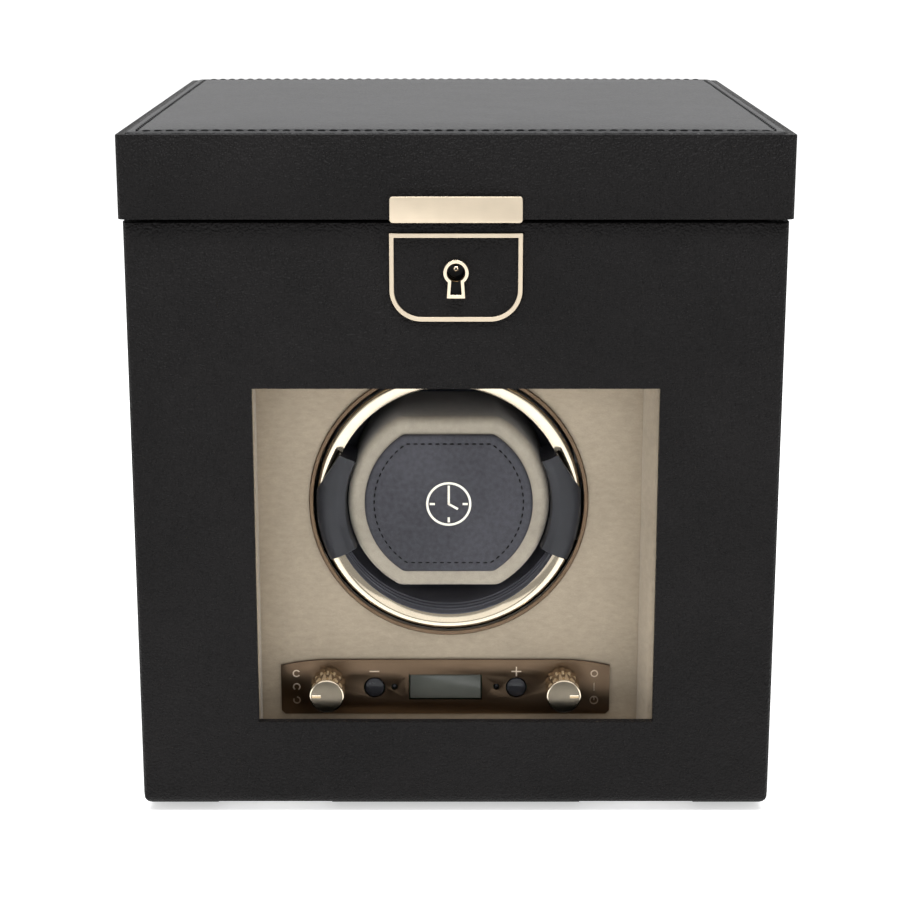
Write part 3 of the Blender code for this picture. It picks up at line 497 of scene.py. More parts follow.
def turned_brick(shape, size, spot, angle, reach=0.0):
    """A box of a size, moved out along X by reach and then turned about Y round a spot."""
    grown = bmesh.ops.create_cube(shape, size=1.0)
    turn = Matrix.Rotation(math.radians(angle), 4, "Y")
    lay = Matrix.Translation(spot) @ turn @ Matrix.Translation((reach, 0, 0)) @ Matrix.Diagonal((*size, 1))
    bmesh.ops.transform(shape, matrix=lay, verts=grown["verts"])


def turned(profile, centre, steps=128, start=0.0, sweep=360.0):
    """A profile of (radius, y) points spun about Y through centre; one that starts at the axis ends there."""
    shape = bmesh.new()
    first = Matrix.Rotation(math.radians(-start), 3, "Y")
    verts = [shape.verts.new(centre + first @ Vector((radius, y - centre.y, 0))) for radius, y in profile]
    edges = [shape.edges.new((verts[i], verts[i + 1])) for i in range(len(verts) - 1)]
    full = abs(sweep) >= 360
    if profile[0][0] > 0:
        edges.append(shape.edges.new((verts[-1], verts[0])))
    bmesh.ops.spin(shape, geom=verts + edges, cent=centre, axis=(0, -1, 0), dvec=(0, 0, 0),
                   angle=math.radians(sweep), steps=steps, use_merge=full, use_duplicate=False)
    if not full:
        ends = [edge for edge in shape.edges if edge.is_boundary]
        bmesh.ops.edgeloop_fill(shape, edges=ends)
    return shape


def stitch(shape, spot, along, up, length, width, height):
    """One stitch: a small capsule of thread lying along a direction."""
    side = up.cross(along).normalized()
    turn = Matrix((along * length / 2, side * width / 2, up * height / 2)).transposed().to_4x4()
    grown = bmesh.ops.create_uvsphere(shape, u_segments=6, v_segments=6, radius=1.0)
    lay = Matrix.Translation(spot) @ turn @ Matrix.Rotation(math.pi / 2, 4, "Y")
    bmesh.ops.transform(shape, matrix=lay, verts=grown["verts"])


def along_path(points, pitch, closed=True):
    """Evenly spaced (point, direction) pairs on a path of points."""
    points = [Vector(p) for p in points]
    pairs = list(zip(points, points[1:] + points[:1])) if closed else list(zip(points, points[1:]))
    total = sum((b - a).length for a, b in pairs)
    count = max(1, round(total / pitch))
    step = total / count
    found = []
    target = step / 2
    walked = 0.0
    for a, b in pairs:
        reach = (b - a).length
        while target <= walked + reach and reach > 0:
            found.append((a.lerp(b, (target - walked) / reach), (b - a).normalized()))
            target += step
        walked += reach
    return found


# ---------------------------------------------------------------- soft pieces


def crown_at(x, y, half):
    """A padded board's share of its full swell at a place: none at the edges, nearly all well inside them."""
    return (1 - min(1.0, abs(x) / half[0]) ** 8) * (1 - min(1.0, abs(y) / half[1]) ** 8)


def pad_sheet(node, roll, crown, finish, seam=0.0, dip=0.0, columns=150, down=False):
    """A padded board: a crowned face with rolled edges and, where asked, a channel for a seam."""
    low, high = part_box(node)
    half = (high - low) / 2
    middle = (high + low) / 2
    shape = bmesh.new()
    bmesh.ops.create_grid(shape, x_segments=columns, y_segments=columns, size=1.0)
    corner = 2.2 * MM
    channel_width = 0.9 * MM
    ripple_width = 18 * MM
    ripple_height = 0.12 * MM
    top = (-low.z if down else high.z) - crown
    bottom = -high.z if down else low.z
    for vert in shape.verts:
        spot = [half[i] * (1.5 * vert.co[i] - 0.5 * vert.co[i] ** 3) for i in (0, 1)]
        past = Vector([max(abs(spot[i]) - (half[i] - corner), 0.0) for i in (0, 1)])
        depth = min(half[0] - abs(spot[0]), half[1] - abs(spot[1]))
        if past.x > 0 and past.y > 0:
            reach = max(past.x, past.y)
            round_to = past.normalized() * reach
            spot = [math.copysign(half[i] - corner + round_to[i], spot[i]) for i in (0, 1)]
            depth = corner - reach
        fall = roll - math.sqrt(max(roll ** 2 - max(roll - depth, 0.0) ** 2, 0.0))
        puff = crown * crown_at(spot[0], spot[1], half)
        channel = dip * math.exp(-((depth - seam) / channel_width) ** 2)
        ripple = ripple_height * noise.noise(Vector((spot[0], spot[1], 0)) / ripple_width) if dip else 0.0
        vert.co = (middle[0] + spot[0], middle[1] + spot[1], top - fall + puff - channel + ripple)
    close_behind(shape, 2, bottom)
    if down:
        bmesh.ops.scale(shape, vec=(1, 1, -1), verts=shape.verts)
    piece = node_piece(node, "_padded", shape, finish, 60)


SWELL_FRAMES = 15


def swell(piece, voxel, pressure, cap):
    """Puff a closed piece up with a short cloth simulation, and keep every point within cap of its start."""
    bpy.context.view_layer.objects.active = piece
    remesh = piece.modifiers.new("even", "REMESH")
    remesh.mode = "VOXEL"
    remesh.voxel_size = voxel
    apply_modifiers(piece)
    start = [vert.co.copy() for vert in piece.data.vertices]
    cloth = piece.modifiers.new("cloth", "CLOTH")
    settings = cloth.settings
    settings.quality = 4
    settings.mass = 0.15
    settings.tension_stiffness = 12
    settings.compression_stiffness = 12
    settings.bending_stiffness = 0.6
    settings.use_pressure = True
    settings.uniform_pressure_force = pressure
    settings.effector_weights.gravity = 0
    scene = bpy.context.scene
    for step in range(1, SWELL_FRAMES + 1):
        scene.frame_set(step)
    shape = piece.evaluated_get(bpy.context.evaluated_depsgraph_get()).to_mesh()
    moved = [vert.co.copy() for vert in shape.vertices]
    piece.evaluated_get(bpy.context.evaluated_depsgraph_get()).to_mesh_clear()
    piece.modifiers.remove(cloth)
    scene.frame_set(1)
    for vert, before, after in zip(piece.data.vertices, start, moved):
        shift = after - before
        if shift.length > cap:
            shift *= cap / shift.length
        vert.co = before + shift
    smooth_and_divide(piece)


def smooth_and_divide(piece):
    shape = bmesh.new()
    shape.from_mesh(piece.data)
    for _ in range(3):
        bmesh.ops.smooth_vert(shape, verts=shape.verts, factor=0.5, use_axis_x=True, use_axis_y=True,
                              use_axis_z=True)
    shape.to_mesh(piece.data)
    shape.free()
    piece.data.shade_smooth()
    finer = piece.modifiers.new("finer", "SUBSURF")
    finer.levels = 1
    finer.render_levels = 1


def apply_modifiers(piece):
    """Make the piece's evaluated mesh its own."""
    graph = bpy.context.evaluated_depsgraph_get()
    mesh = bpy.data.meshes.new_from_object(piece.evaluated_get(graph))
    piece.modifiers.clear()
    piece.data = mesh


# ---------------------------------------------------------------- operators


class WinderOperator:
    """Shared settings of the box's operators."""

    bl_options = {"REGISTER", "UNDO"}

    def execute(self, context):
        self.build()
        return {"FINISHED"}


class WINDER_OT_leather_shells(WinderOperator, bpy.types.Operator):
    """Cover the case, the door and the lid in grained leather."""

    bl_idname = "winder.leather_shells"
    bl_label = "Leather Shells"

    def build(self):
        refine("case_shell", "leather", 0.5 * MM, 3, "_leather")
        refine("door_panel", "leather", 0.45 * MM, 3, "_leather")
        refine("lid_shell", "leather", 0.6 * MM, 3, "_leather")
        refine("base_pad", "felt", 0.3 * MM)


class WINDER_OT_lid_panel(WinderOperator, bpy.types.Operator):
    """Make the lid's padded panel and its seam."""

    bl_idname = "winder.lid_panel"
    bl_label = "Lid Panel"

    def build(self):
        s = sizes()
        dip = 0.35 * MM
        pad_sheet("lid_top_panel", s.panel_roll, s.panel_crown, "panel", s.seam_inset, dip)
        pad_sheet("lid_lining", 2.0 * MM, 1.2 * MM, "suede", columns=90, down=True)
        low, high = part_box("lid_top_panel")
        half = (high - low) / 2
        middle = (low + high) / 2
        seam = half - Vector((s.seam_inset, s.seam_inset, 0))
        corners = [Vector((middle.x + x * seam.x, middle.y + y * seam.y, 0))
                   for x, y in ((-1, -1), (1, -1), (1, 1), (-1, 1))]
        turn = 1.5 * MM
        length = s.stitch_pitch - s.stitch_gap
        shape = bmesh.new()
        for corner, after in zip(corners, corners[1:] + corners[:1]):
            run = (after - corner).normalized() * turn
            for spot, along in along_path([corner + run, after - run], s.stitch_pitch, closed=False):
                puff = s.panel_crown * crown_at(spot.x - middle.x, spot.y - middle.y, half)
                spot.z = high.z - s.panel_crown + puff - dip + 0.25 * MM
                stitch(shape, spot, along, Vector((0, 0, 1)), length, 0.9 * MM, 0.8 * MM)
        add_piece("lid_panel_stitches", shape, "lid", "thread", smooth=80)


class WINDER_OT_lock(WinderOperator, bpy.types.Operator):
    """Make the catch plate, the lock frame, its inlay and the keyhole."""

    bl_idname = "winder.lock"
    bl_label = "Lock"

    corner = 9.8 * MM
    line = 1.4 * MM

    def build(self):
        refine("catch_plate", "satin_gold", 0.3 * MM, 3)
        seat = self.outline(self.line + 0.1 * MM)
        count = 64
        self.plate("lock_frame", "_finished", self.outline(0), self.outline(self.line), "satin_gold",
                   0.22 * MM)
        self.plate("lock_inlay", "_leather", seat, keyhole_ring(len(seat), 0.5 * MM), "leather", 0.15 * MM, 2)
        self.plate("keyhole_escutcheon", "_finished", keyhole_ring(count, 1.1 * MM), keyhole_ring(count, 0.0),
                   "gold", 0.2 * MM)
        self.cylinder()
        refine("lock_case", "dark_steel")
        refine("lock_bolt", "steel")
        refine("lid_strike", "steel")

    def plate(self, node, suffix, outer, inner, finish, width, segments=3):
        near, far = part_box(node)
        soften(node_piece(node, suffix, framed(outer, inner, near.y, far.y), finish), width, segments)

    def cylinder(self):
        """A brass barrel with a funnel in its face and a hollow pin near the top; the funnel's floor and right
        half are painted shade in blackened steel.
        """
        low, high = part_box("lock_cylinder")
        radius = (high.x - low.x) / 2
        centre = Vector((0, low.y, KEY.z))
        profile = [(0, low.y + 6 * MM), (radius * 0.78, low.y + 6 * MM), (radius * 0.86, low.y + 0.5 * MM),
                   (radius * 0.92, low.y), (radius, low.y + 0.2 * MM), (radius, high.y), (0, high.y)]
        shape = turned(profile, centre, 48)
        barrel = node_piece("lock_cylinder", "_finished", shape, "brass", 30)
        # painted shade: the funnel's floor and its right half take blackened steel in place of brass, standing in
        # for the shade inside the keyhole
        barrel.data.materials.append(finish_of("dark_steel"))
        for face in barrel.data.polygons:
            off = face.center - centre
            inside = math.hypot(off.x, off.z) < radius * 0.84 and off.y < 6.1 * MM
            face.material_index = int(inside and (off.x > 0 or off.y > 5.9 * MM))
        pin = [(0.38 * MM, low.y + 1.2 * MM), (0.38 * MM, low.y - 0.1 * MM), (0.58 * MM, low.y - 0.2 * MM),
               (0.78 * MM, low.y), (0.78 * MM, low.y + 5 * MM), (0.38 * MM, low.y + 5 * MM)]
        spot = centre + Vector((0, 0, 1.0 * MM))
        add_piece("key_pin", turned(pin, spot, 24), "lock_cylinder", "gold", smooth=30)

    def outline(self, inset):
        """The frame's outline moved in: square above, and widely rounded below."""
        low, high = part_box("lock_frame")
        right = high.x - inset
        bottom = low.z + inset
        turn = self.corner - inset
        right_arc = arc((right - turn, bottom + turn), turn, -90, 0, 18)
        left_arc = arc((turn - right, bottom + turn), turn, 180, 270, 18)
        return right_arc + [(right, high.z - inset), (-right, high.z - inset)] + left_arc


def keyhole_ring(count, grow_by):
    """A keyhole's outline with a set number of points: a round head over a flared skirt."""
    head = 2.75 * MM + grow_by
    neck_half = 1.375 * MM + grow_by
    foot_half = 1.7 * MM + grow_by
    foot = KEY.z - 6.8 * MM - grow_by
    neck = math.degrees(math.asin(neck_half / head))
    sides = 4
    round_points = arc((0, KEY.z), head, -90 + neck, 270 - neck, count - 2 * sides - 1)
    left_top = Vector(round_points[-1])
    left_foot = Vector((-foot_half, foot))
    right_top = Vector(round_points[0])
    right_foot = Vector((foot_half, foot))
    left = [tuple(left_top.lerp(left_foot, (i + 1) / sides)) for i in range(sides)]
    right = [tuple(right_foot.lerp(right_top, i / sides)) for i in range(sides)]
    return round_points + left + right


class WINDER_OT_window(WinderOperator, bpy.types.Operator):
    """Make the door's glass, its retainer and the door's lining."""

    bl_idname = "winder.window"
    bl_label = "Window"

    def build(self):
        refine("door_glass", "glass", 0.2 * MM)
        refine("glass_retainer", "plastic", 0.3 * MM)
        refine("door_lining", "suede", 0.3 * MM)


class WINDER_OT_bay(WinderOperator, bpy.types.Operator):
    """Line the winder bay: its surround, the fascia and the drum hole's rim."""

    bl_idname = "winder.bay"
    bl_label = "Winder Bay"

    def build(self):
        refine("bay_surround", "suede", 1.4 * MM, 4)
        refine("fascia", "fascia", 0.5 * MM, 3, "_suede")
        low, high, _, outer = round_node("fascia_rim")
        inner = outer - 1.4 * MM
        profile = [(outer, high.y), (outer, low.y + 0.25 * MM), (outer - 0.25 * MM, low.y),
                   (inner + 0.2 * MM, low.y), (inner, low.y + 0.2 * MM), (inner, high.y)]
        node_piece("fascia_rim", "_finished", turned(profile, DRUM), "bronze")


class WINDER_OT_drum(WinderOperator, bpy.types.Operator):
    """Make the drum's cup, its gold ring and the two clips."""

    bl_idname = "winder.drum"
    bl_label = "Drum"

    def build(self):
        self.cup()
        self.ring()
        for side in (-1, 1):
            self.clip(side)

    def cup(self):
        """A cup with a bore in its floor and three ribs round the inside of its wall."""
        low, high, _, outer = round_node("drum_cup")
        inner = outer - 4.5 * MM
        bore = 2.8 * MM
        floor = high.y - 3 * MM
        lip = 0.8 * MM
        proud = 0.3 * MM
        profile = [(outer, low.y + lip), (outer, high.y - lip), (outer - lip, high.y), (bore, high.y),
                   (bore, floor), (inner - 3 * MM, floor), (inner - 1 * MM, floor - 1 * MM),
                   (inner, floor - 3 * MM)]
        for rib in (2, 1, 0):
            y = low.y + (4 + 3 * rib) * MM
            profile += [(inner, y + 1.2 * MM), (inner - proud, y + 0.9 * MM), (inner - proud, y + 0.3 * MM),
                        (inner, y)]
        profile += [(inner, low.y + 0.3 * MM), (inner + 0.3 * MM, low.y), (outer - lip, low.y)]
        # the cup takes the lightened plastic, which is painted light
        node_piece("drum_cup", "_finished", turned(profile, DRUM), "cup", 25)

    def ring(self):
        """A bright ring: a rounded outer edge, a narrow crest and a long slope towards the cup."""
        low, high, _, outer = round_node("drum_ring")
        inner = outer - 4.5 * MM
        crest = outer - 1.6 * MM
        turn = 1.3 * MM
        profile = [(outer, high.y)]
        for step in range(9):
            angle = math.pi / 2 * step / 8
            profile.append((outer - turn + turn * math.cos(angle), low.y + turn * (1 - math.sin(angle))))
        for step in range(1, 9):
            share = step / 8
            profile.append((crest + (inner - crest) * share, low.y + 1.3 * MM * share ** 1.6))
        profile.append((inner, high.y))
        node_piece("drum_ring", "_finished", turned(profile, DRUM, 192), "gold", 50)

    def clip(self, side):
        """A clip that reaches over the ring, with a ridge along it and rounded ends."""
        node = "clip_left" if side < 0 else "clip_right"
        low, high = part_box(node)
        inner = 32.6 * MM
        outer = 42.2 * MM
        wall = 37.4 * MM
        above_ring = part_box("drum_ring")[0].y - 0.3 * MM
        ridge = ((0, 1.6), (0.5, 0.9), (1.6, 0.7), (2.4, 0.2), (3.4, 0), (6.2, 0.35), (8.4, 1.3), (9.4, 2.3))
        profile = [(inner, high.y)] + [(inner + out * MM, low.y + back * MM) for out, back in ridge]
        profile += [(outer, above_ring), (wall, above_ring), (wall, high.y)]
        half_angle = math.degrees(math.asin(17 / 39))
        start = 180 - half_angle if side < 0 else -half_angle
        shape = turned(profile, DRUM, 24, start, 2 * half_angle)
        piece = node_piece(node, "_finished", shape, "plastic", 40)
        slant = [(DRUM.x + side * x * MM, DRUM.z + z * MM)
                 for x, z in ((34.5, 16.5), (42.5, 4), (50, 4), (50, 30), (34.5, 30))]
        carve(piece, slab(slant, low.y - 5 * MM, high.y + 5 * MM))
        soften(piece, 0.4 * MM, 3, 50)


class WINDER_OT_cuff(WinderOperator, bpy.types.Operator):
    """Make the padded cuff, its leather patch and the patch's seam."""

    bl_idname = "winder.cuff"
    bl_label = "Cuff"

    def build(self):
        low, high, _, radius = round_node("cuff_body")
        self.body(low, high, radius, (high.z - low.z) / 2)
        near, far, _, radius = round_node("cuff_patch")
        half = (far.z - near.z) / 2
        inset = 3 * MM
        self.patch(near, far, radius, half)
        self.seam(near, radius - inset, half - inset)
        self.emblem(near)

    def outline(self, radius, half, corner, steps=24):
        """Round about the drum's axis with flats above and below; the corners between are rounded."""
        inner = radius - corner
        flat = half - corner
        reach = math.degrees(math.asin(flat / inner))
        points = []
        for start in (0, 180):
            knee_low = arc((0, 0), inner, start - reach, start - reach, 1)[0]
            knee_high = arc((0, 0), inner, start + reach, start + reach, 1)[0]
            points += arc(knee_low, corner, start - 90, start - reach, 5)
            points += arc((0, 0), radius, start - reach, start + reach, steps)[1:-1]
            points += arc(knee_high, corner, start + reach, start + 90, 5)
        return [(DRUM.x + x, DRUM.z + z) for x, z in points]

    def body(self, low, high, radius, half):
        shape = slab(self.outline(radius, half, 5 * MM), low.y, high.y)
        rims = [edge for edge in shape.edges if abs(edge.verts[0].co.y - edge.verts[1].co.y) < 1e-6]
        round_off(shape, rims, 2.6 * MM, 5)
        piece = node_piece("cuff_body", "_padded", shape, "cuff", 60)

    def patch(self, near, far, radius, half):
        """A disc of leather whose face swells a little inside its seam."""
        shape = bmesh.new()
        rings = 40
        outline = self.outline(radius, half, 3 * MM, 40)
        loops = []
        for ring in range(rings + 1):
            share = 1 - ring / (rings + 1)
            depth = (1 - share) * radius
            rise = 0.25 * MM * (1 - math.exp(-depth / (4 * MM)))
            groove = 0.12 * MM * math.exp(-((depth - 3 * MM) / (0.7 * MM)) ** 2)
            fall = max(0.0, 0.5 * MM - depth) * 0.8
            loops.append([shape.verts.new((DRUM.x + (x - DRUM.x) * share, near.y - rise + groove + fall,
                                           DRUM.z + (z - DRUM.z) * share)) for x, z in outline])
        for a, b in zip(loops, loops[1:]):
            for i in range(len(a)):
                shape.faces.new((a[i - 1], a[i], b[i], b[i - 1]))
        shape.faces.new(loops[-1])
        close_behind(shape, 1, far.y)
        node_piece("cuff_patch", "_leather", shape, "patch", 60)

    def seam(self, near, radius, half):
        shape = bmesh.new()
        y = near.y - 0.02 * MM
        path = [(x, y, z) for x, z in self.outline(radius, half, 2 * MM, 40)]
        pitch = sizes().patch_pitch
        for spot, along in along_path(path, pitch):
            stitch(shape, spot, along, Vector((0, -1, 0)), pitch * 0.66, 0.62 * MM, 0.5 * MM)
        add_piece("cuff_patch_stitches", shape, "cuff", "thread", smooth=80)

    def emblem(self, near):
        """A plain clock face in cream foil: a ring, four marks and two hands."""
        front = near.y - 0.30 * MM
        back = near.y - 0.10 * MM
        ring = 7.2 * MM
        line = 0.7 * MM
        steps = 64
        outer, inner = (arc((DRUM.x, DRUM.z), radius, 0, 360 - 360 / steps, steps - 1)
                        for radius in (ring, ring - line))
        shape = framed(outer, inner, front, back)
        hands = [(quarter * 90, ring - 2.6 * MM, ring - 1.3 * MM) for quarter in range(4)]
        hands += [(90, 0, 4.4 * MM), (-30, 0, 3.2 * MM)]
        for angle, start, end in hands:
            turned_brick(shape, (end - start + line / 2, back - front, line),
                         (DRUM.x, (front + back) / 2, DRUM.z), -angle, (start + end) / 2)
        add_piece("cuff_emblem", shape, "cuff", "foil")


class WINDER_OT_controls(WinderOperator, bpy.types.Operator):
    """Make the control plate, its marks, the display, the buttons, the lenses and the knobs."""

    bl_idname = "winder.controls"
    bl_label = "Controls"

    def build(self):
        refine("control_plate", "bronze", 0.3 * MM, 3)
        refine("display_window", "display", 0.3 * MM)
        self.marks()
        for node in ("button_minus", "button_plus"):
            self.button(node)
        for node in ("led_lens_left", "led_lens_right"):
            low, high, centre, radius = round_node(node)
            profile = [(0, low.y - 0.1 * MM), (radius * 0.6, low.y), (radius, low.y + 0.3 * MM),
                       (radius, high.y), (0, high.y)]
            node_piece(node, "_finished", turned(profile, centre, 20), "button", 50)
        for node in ("knob_direction", "knob_power"):
            self.knob(node)
        for node in ("switch_direction", "switch_power"):
            refine(node, "plastic")
        refine("control_board", "board", 0.1 * MM)

    def button(self, node):
        low, high, centre, radius = round_node(node)
        dome = 0.45 * MM
        profile = [(0, low.y)]
        for step in range(1, 7):
            share = step / 6
            profile.append((radius * 0.93 * share, low.y + dome * share ** 2.5))
        profile += [(radius, low.y + dome + 0.4 * MM), (radius, high.y), (0, high.y)]
        node_piece(node, "_finished", turned(profile, centre, 48), "button", 40)

    def knob(self, node):
        """A round knob: a plain face with a pointer notch, and two rows of arched flutes round its side."""
        low, high, centre, radius = round_node(node)
        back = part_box("control_plate")[0].y - 0.3 * MM
        length = back - low.y
        depth = 0.95 * MM
        rim = 0.35 * MM
        lip = 0.9 * MM
        profile = [(0, low.y), (radius - 1.5 * rim, low.y), (radius - 0.5 * rim, low.y + 0.5 * rim),
                   (radius - 0.5 * rim, low.y + lip), (radius - depth, low.y + lip + 0.5 * rim)]
        rows = 40
        flat = lip + 0.5 * rim
        first = (flat / length, 0.50)
        second = (0.56, 1.0)
        for row in range(1, rows + 1):
            profile.append((radius - depth, low.y + flat + (length - flat) * row / rows))
        profile.append((0, back))
        shape = turned(profile, centre, 192)
        bmesh.ops.remove_doubles(shape, verts=shape.verts, dist=WELD)
        flutes = 14
        for vert in shape.verts:
            off = Vector((vert.co.x - centre.x, vert.co.z - centre.z))
            share = (vert.co.y - low.y) / length
            if off.length < radius - depth - 0.5 * rim or vert.co.y < low.y + flat:
                continue
            turn = math.atan2(off.y, off.x) * flutes / 2
            for (start, end), shift in ((first, 0.0), (second, math.pi / 2)):
                if start < share <= end:
                    run = (share - start) / (end - start)
                    wave = abs(math.cos(turn + shift))
                    arch = min(1.0, max(0.0, (run - 0.42 * (1 - wave)) / 0.30))
                    rise = depth * math.sqrt(arch) * (0.45 + 0.55 * wave)
                    off *= (radius - depth + rise) / off.length
            vert.co.x = centre.x + off.x
            vert.co.z = centre.z + off.y
        piece = node_piece(node, "_finished", shape, "gold", 40)
        # the front face takes the darkened gold, which is painted shade
        piece.data.materials.append(finish_of("knob_face_painted_shade"))
        for face in piece.data.polygons:
            face.material_index = int(face.center.y < low.y + 0.1 * rim)
        side = math.copysign(1, centre.x)
        reach = sorted((centre.x + side * radius * 0.34, centre.x + side * (radius - 2.4 * rim)))
        carve(piece, brick((reach[0], low.y - 1 * MM, centre.z - 0.5 * MM),
                           (reach[1], low.y + 0.9 * MM, centre.z + 0.5 * MM)))
        stem = bar((centre.x, centre.z), 2.1 * MM, back - 0.2 * MM, high.y)
        add_piece(node + "_stem", stem, BODY_OF[node], "steel")

    def marks(self):
        """Raised marks: minus and plus above the buttons, and rings and strokes beside the knobs."""
        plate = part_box("control_plate")
        front = plate[0].y - 0.12 * MM
        back = plate[0].y + 0.1 * MM
        line = 0.42 * MM
        arm = 1.6 * MM
        shape = bmesh.new()

        def stroke(x, z, wide, tall, rise=0.0):
            brick((x - wide, front - rise, z - tall), (x + wide, back, z + tall), shape)

        def ring_mark(x, z, radius, start, end):
            outer = arc((x, z), radius, start, end, 28)
            slab(outer + arc((x, z), radius - line, end, start, 28), front, back, shape)

        for node in ("button_minus", "button_plus"):
            _, high, centre, _ = round_node(node)
            z = high.z + 2.3 * MM
            stroke(centre.x, z, arm, line / 2)
            if node == "button_plus":
                stroke(centre.x, z, line / 2, arm, 0.02 * MM)
        middle = (plate[0].z + plate[1].z) / 2
        left = plate[0].x + 5.0 * MM
        right = plate[1].x - 5.0 * MM
        upper, lower = middle + 4.6 * MM, middle - 4.6 * MM
        for x, z, radius, start, end in ((left, upper, 1.25, 30, 330), (left, middle, 1.25, -60, 240),
                                         (left, lower, 1.25, 150, 450), (right, upper, 1.25, 0, 359),
                                         (right, lower, 1.45, 0, 359)):
            ring_mark(x, z, radius * MM, start, end)
        stroke(right, middle, line / 2, 1.4 * MM)
        stroke(right, lower + 0.5 * MM, line / 2, 0.5 * MM)
        # the marks take the lighter bronze, which is a painted highlight
        soften(add_piece("control_marks", shape, "case", "mark"), 0.08 * MM)


def carve(piece, shape):
    """Cut a shape out of a finished piece."""
    bmesh.ops.recalc_face_normals(shape, faces=shape.faces)
    cutter = to_object(piece.name + "_cutter", shape)
    bpy.context.view_layer.update()
    boolean = piece.modifiers.new("notch", "BOOLEAN")
    boolean.operation = "DIFFERENCE"
    boolean.object = cutter
    apply_modifiers(piece)
    bpy.data.objects.remove(cutter)


class WINDER_OT_storage(WinderOperator, bpy.types.Operator):
    """Line the tray and make the watch pillows."""

    bl_idname = "winder.storage"
    bl_label = "Storage"

    def build(self):
        refine("storage_tray", "suede", 0.8 * MM, 3)
        for node in ("watch_pillow_left", "watch_pillow_centre", "watch_pillow_right"):
            self.pillow(node)

    def pillow(self, node):
        low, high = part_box(node)
        inset = 1.6 * MM
        margin = Vector((inset, inset, inset))
        shape = brick(low + margin, high - margin)
        for least, most, width, segments in ((inset, math.inf, 12 * MM, 6), (0, 1e-6, 2.5 * MM, 3)):
            spans = {edge: abs(edge.verts[0].co.x - edge.verts[1].co.x) for edge in shape.edges}
            round_off(shape, [edge for edge in spans if least <= spans[edge] <= most], width, segments)
        piece = node_piece(node, "_padded", shape, "cuff", 60)
        swell(piece, 2.4 * MM, 4.0, sizes().pillow_cap)


class WINDER_OT_mechanism(WinderOperator, bpy.types.Operator):
    """Finish the hinges, the drive and the case's fittings."""

    bl_idname = "winder.mechanism"
    bl_label = "Mechanism"

    def build(self):
        for part in ("case_leaf", "lid_leaf", "pin"):
            refine("lid_hinge_" + part, "steel", 0.12 * MM)
        for side in ("left", "right"):
            for part in ("case_leaf", "door_leaf", "pin"):
                refine(f"door_hinge_{side}_{part}", "steel", 0.12 * MM)
        for node in ("motor_bracket", "motor", "drum_shaft"):
            refine(node, "steel", 0.12 * MM)
        for node in ("drum_bearing", "motor_pinion"):
            refine(node, "brass", 0.08 * MM)
        for node in ("drum_gear", "module_housing", "dc_inlet"):
            refine(node, "plastic", 0.12 * MM)
        self.screws()

    def screws(self):
        """Slotted countersunk screws in the long hinge behind the case."""
        for node, body in (("lid_hinge_case_leaf", "case"), ("lid_hinge_lid_leaf", "lid")):
            low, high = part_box(node)
            down = node.endswith("case_leaf")
            z = low.z + 5 * MM if down else high.z - 5 * MM
            y = low.y + 0.8 * MM
            count = 6
            places = [low.x + (high.x - low.x) * (number + 0.5) / count for number in range(count)]
            shape = bmesh.new()
            slots = bmesh.new()
            for number, x in enumerate(places):
                bar((x, z), 1.9 * MM, y - 0.1 * MM, y + 0.25 * MM, shape=shape)
                turned_brick(slots, (4.2 * MM, 0.4 * MM, 0.45 * MM), (x, y + 0.3 * MM, z), 37 * number)
            piece = add_piece(node + "_screws", shape, body, "steel")
            soften(piece, 0.1 * MM)
            carve(piece, slots)


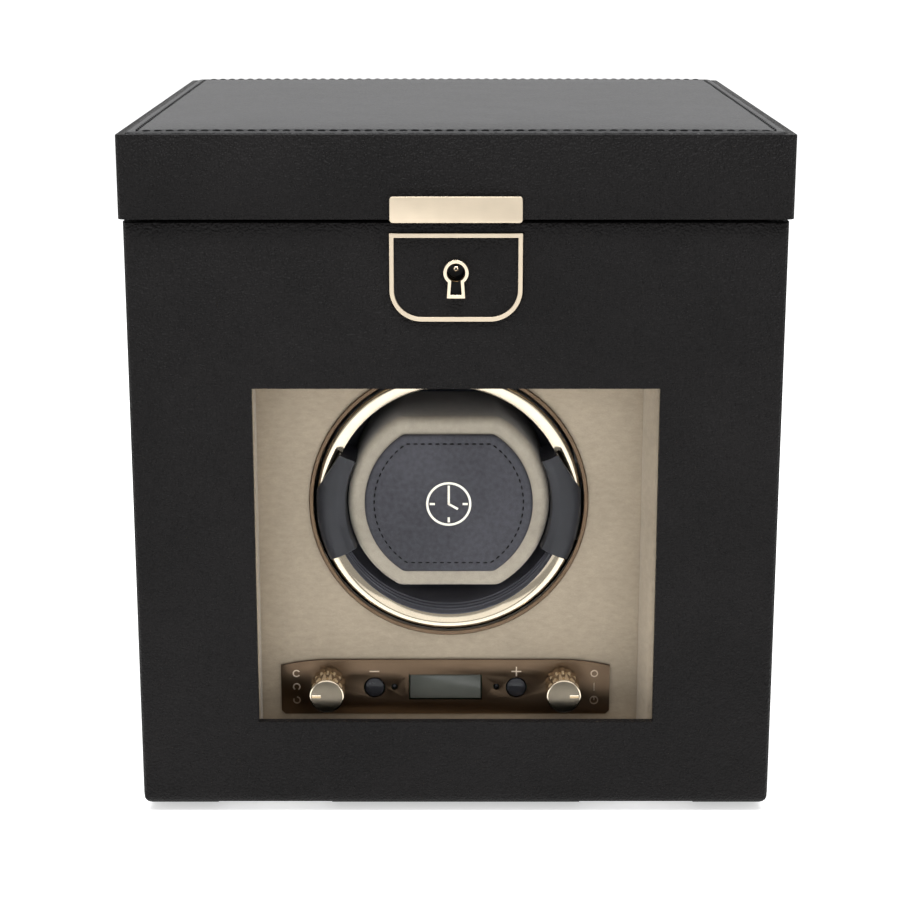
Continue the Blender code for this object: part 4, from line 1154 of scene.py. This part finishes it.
class WINDER_OT_stage(WinderOperator, bpy.types.Operator):
    """Set the floor, the soft lamps and the camera."""

    bl_idname = "winder.stage"
    bl_label = "Stage"

    def build(self):
        scene = bpy.context.scene
        scene.view_settings.view_transform = "Standard"
        self.floor()
        self.world(scene)
        for row in LAMPS:
            self.lamp(*row)
        self.camera(scene)

    def floor(self):
        shape = bmesh.new()
        bmesh.ops.create_grid(shape, x_segments=1, y_segments=1, size=14)
        floor = to_object("floor", shape)
        material, tree, shader = new_material("pale_floor")
        set_inputs(tree, shader, Base_Color=(0.93, 0.93, 0.93, 1), Roughness=0.9, Specular_IOR_Level=0.1,
                   Emission_Color=(1, 1, 1, 1), Emission_Strength=0.5)
        floor.data.materials.append(material)

    def world(self, scene):
        world = bpy.data.worlds.new("studio")
        world.use_nodes = True
        sky = world.node_tree.nodes["Background"]
        sky.inputs["Color"].default_value = (1, 1, 1, 1)
        sky.inputs["Strength"].default_value = 0.42
        scene.world = world

    def lamp(self, name, spot, target, size, power):
        data = bpy.data.lights.new(name, "AREA")
        data.shape = "RECTANGLE"
        data.size = size[0]
        data.size_y = size[1]
        data.energy = power
        lamp = bpy.data.objects.new(name, data)
        lamp.location = spot
        lamp.rotation_euler = (Vector(target) - Vector(spot)).to_track_quat("-Z", "Y").to_euler()
        bpy.context.scene.collection.objects.link(lamp)

    def camera(self, scene):
        data = bpy.data.cameras.new("camera")
        data.lens = LENS
        camera = bpy.data.objects.new("camera", data)
        camera.location = CAMERA_SPOT
        camera.rotation_euler = (math.radians(90 - CAMERA_FALL), 0, 0)
        scene.collection.objects.link(camera)
        scene.camera = camera


OPERATORS = (WINDER_OT_stage, WINDER_OT_leather_shells, WINDER_OT_lid_panel, WINDER_OT_lock, WINDER_OT_window,
             WINDER_OT_bay, WINDER_OT_drum, WINDER_OT_cuff, WINDER_OT_controls, WINDER_OT_storage,
             WINDER_OT_mechanism)


class WINDER_PT_panel(bpy.types.Panel):
    """The box's settings and its operators."""

    bl_idname = "WINDER_PT_panel"
    bl_label = "Watch Winder Box"
    bl_space_type = "VIEW_3D"
    bl_region_type = "UI"
    bl_category = "Winder"

    def draw(self, context):
        for group in (context.scene.winder_colours, context.scene.winder_sizes):
            for name in group.__annotations__:
                self.layout.prop(group, name)
        for operator in OPERATORS:
            self.layout.operator(operator.bl_idname)


CLASSES = (WinderColours, WinderSizes, *OPERATORS, WINDER_PT_panel)


def register():
    for kind in CLASSES:
        bpy.utils.register_class(kind)
    bpy.types.Scene.winder_colours = bpy.props.PointerProperty(type=WinderColours)
    bpy.types.Scene.winder_sizes = bpy.props.PointerProperty(type=WinderSizes)


def unregister():
    del bpy.types.Scene.winder_sizes
    del bpy.types.Scene.winder_colours
    for kind in reversed(CLASSES):
        bpy.utils.unregister_class(kind)


def main():
    register()
    for operator in OPERATORS:
        group, name = operator.bl_idname.split(".")
        getattr(getattr(bpy.ops, group), name)()


if __name__ == "__main__":
    main()
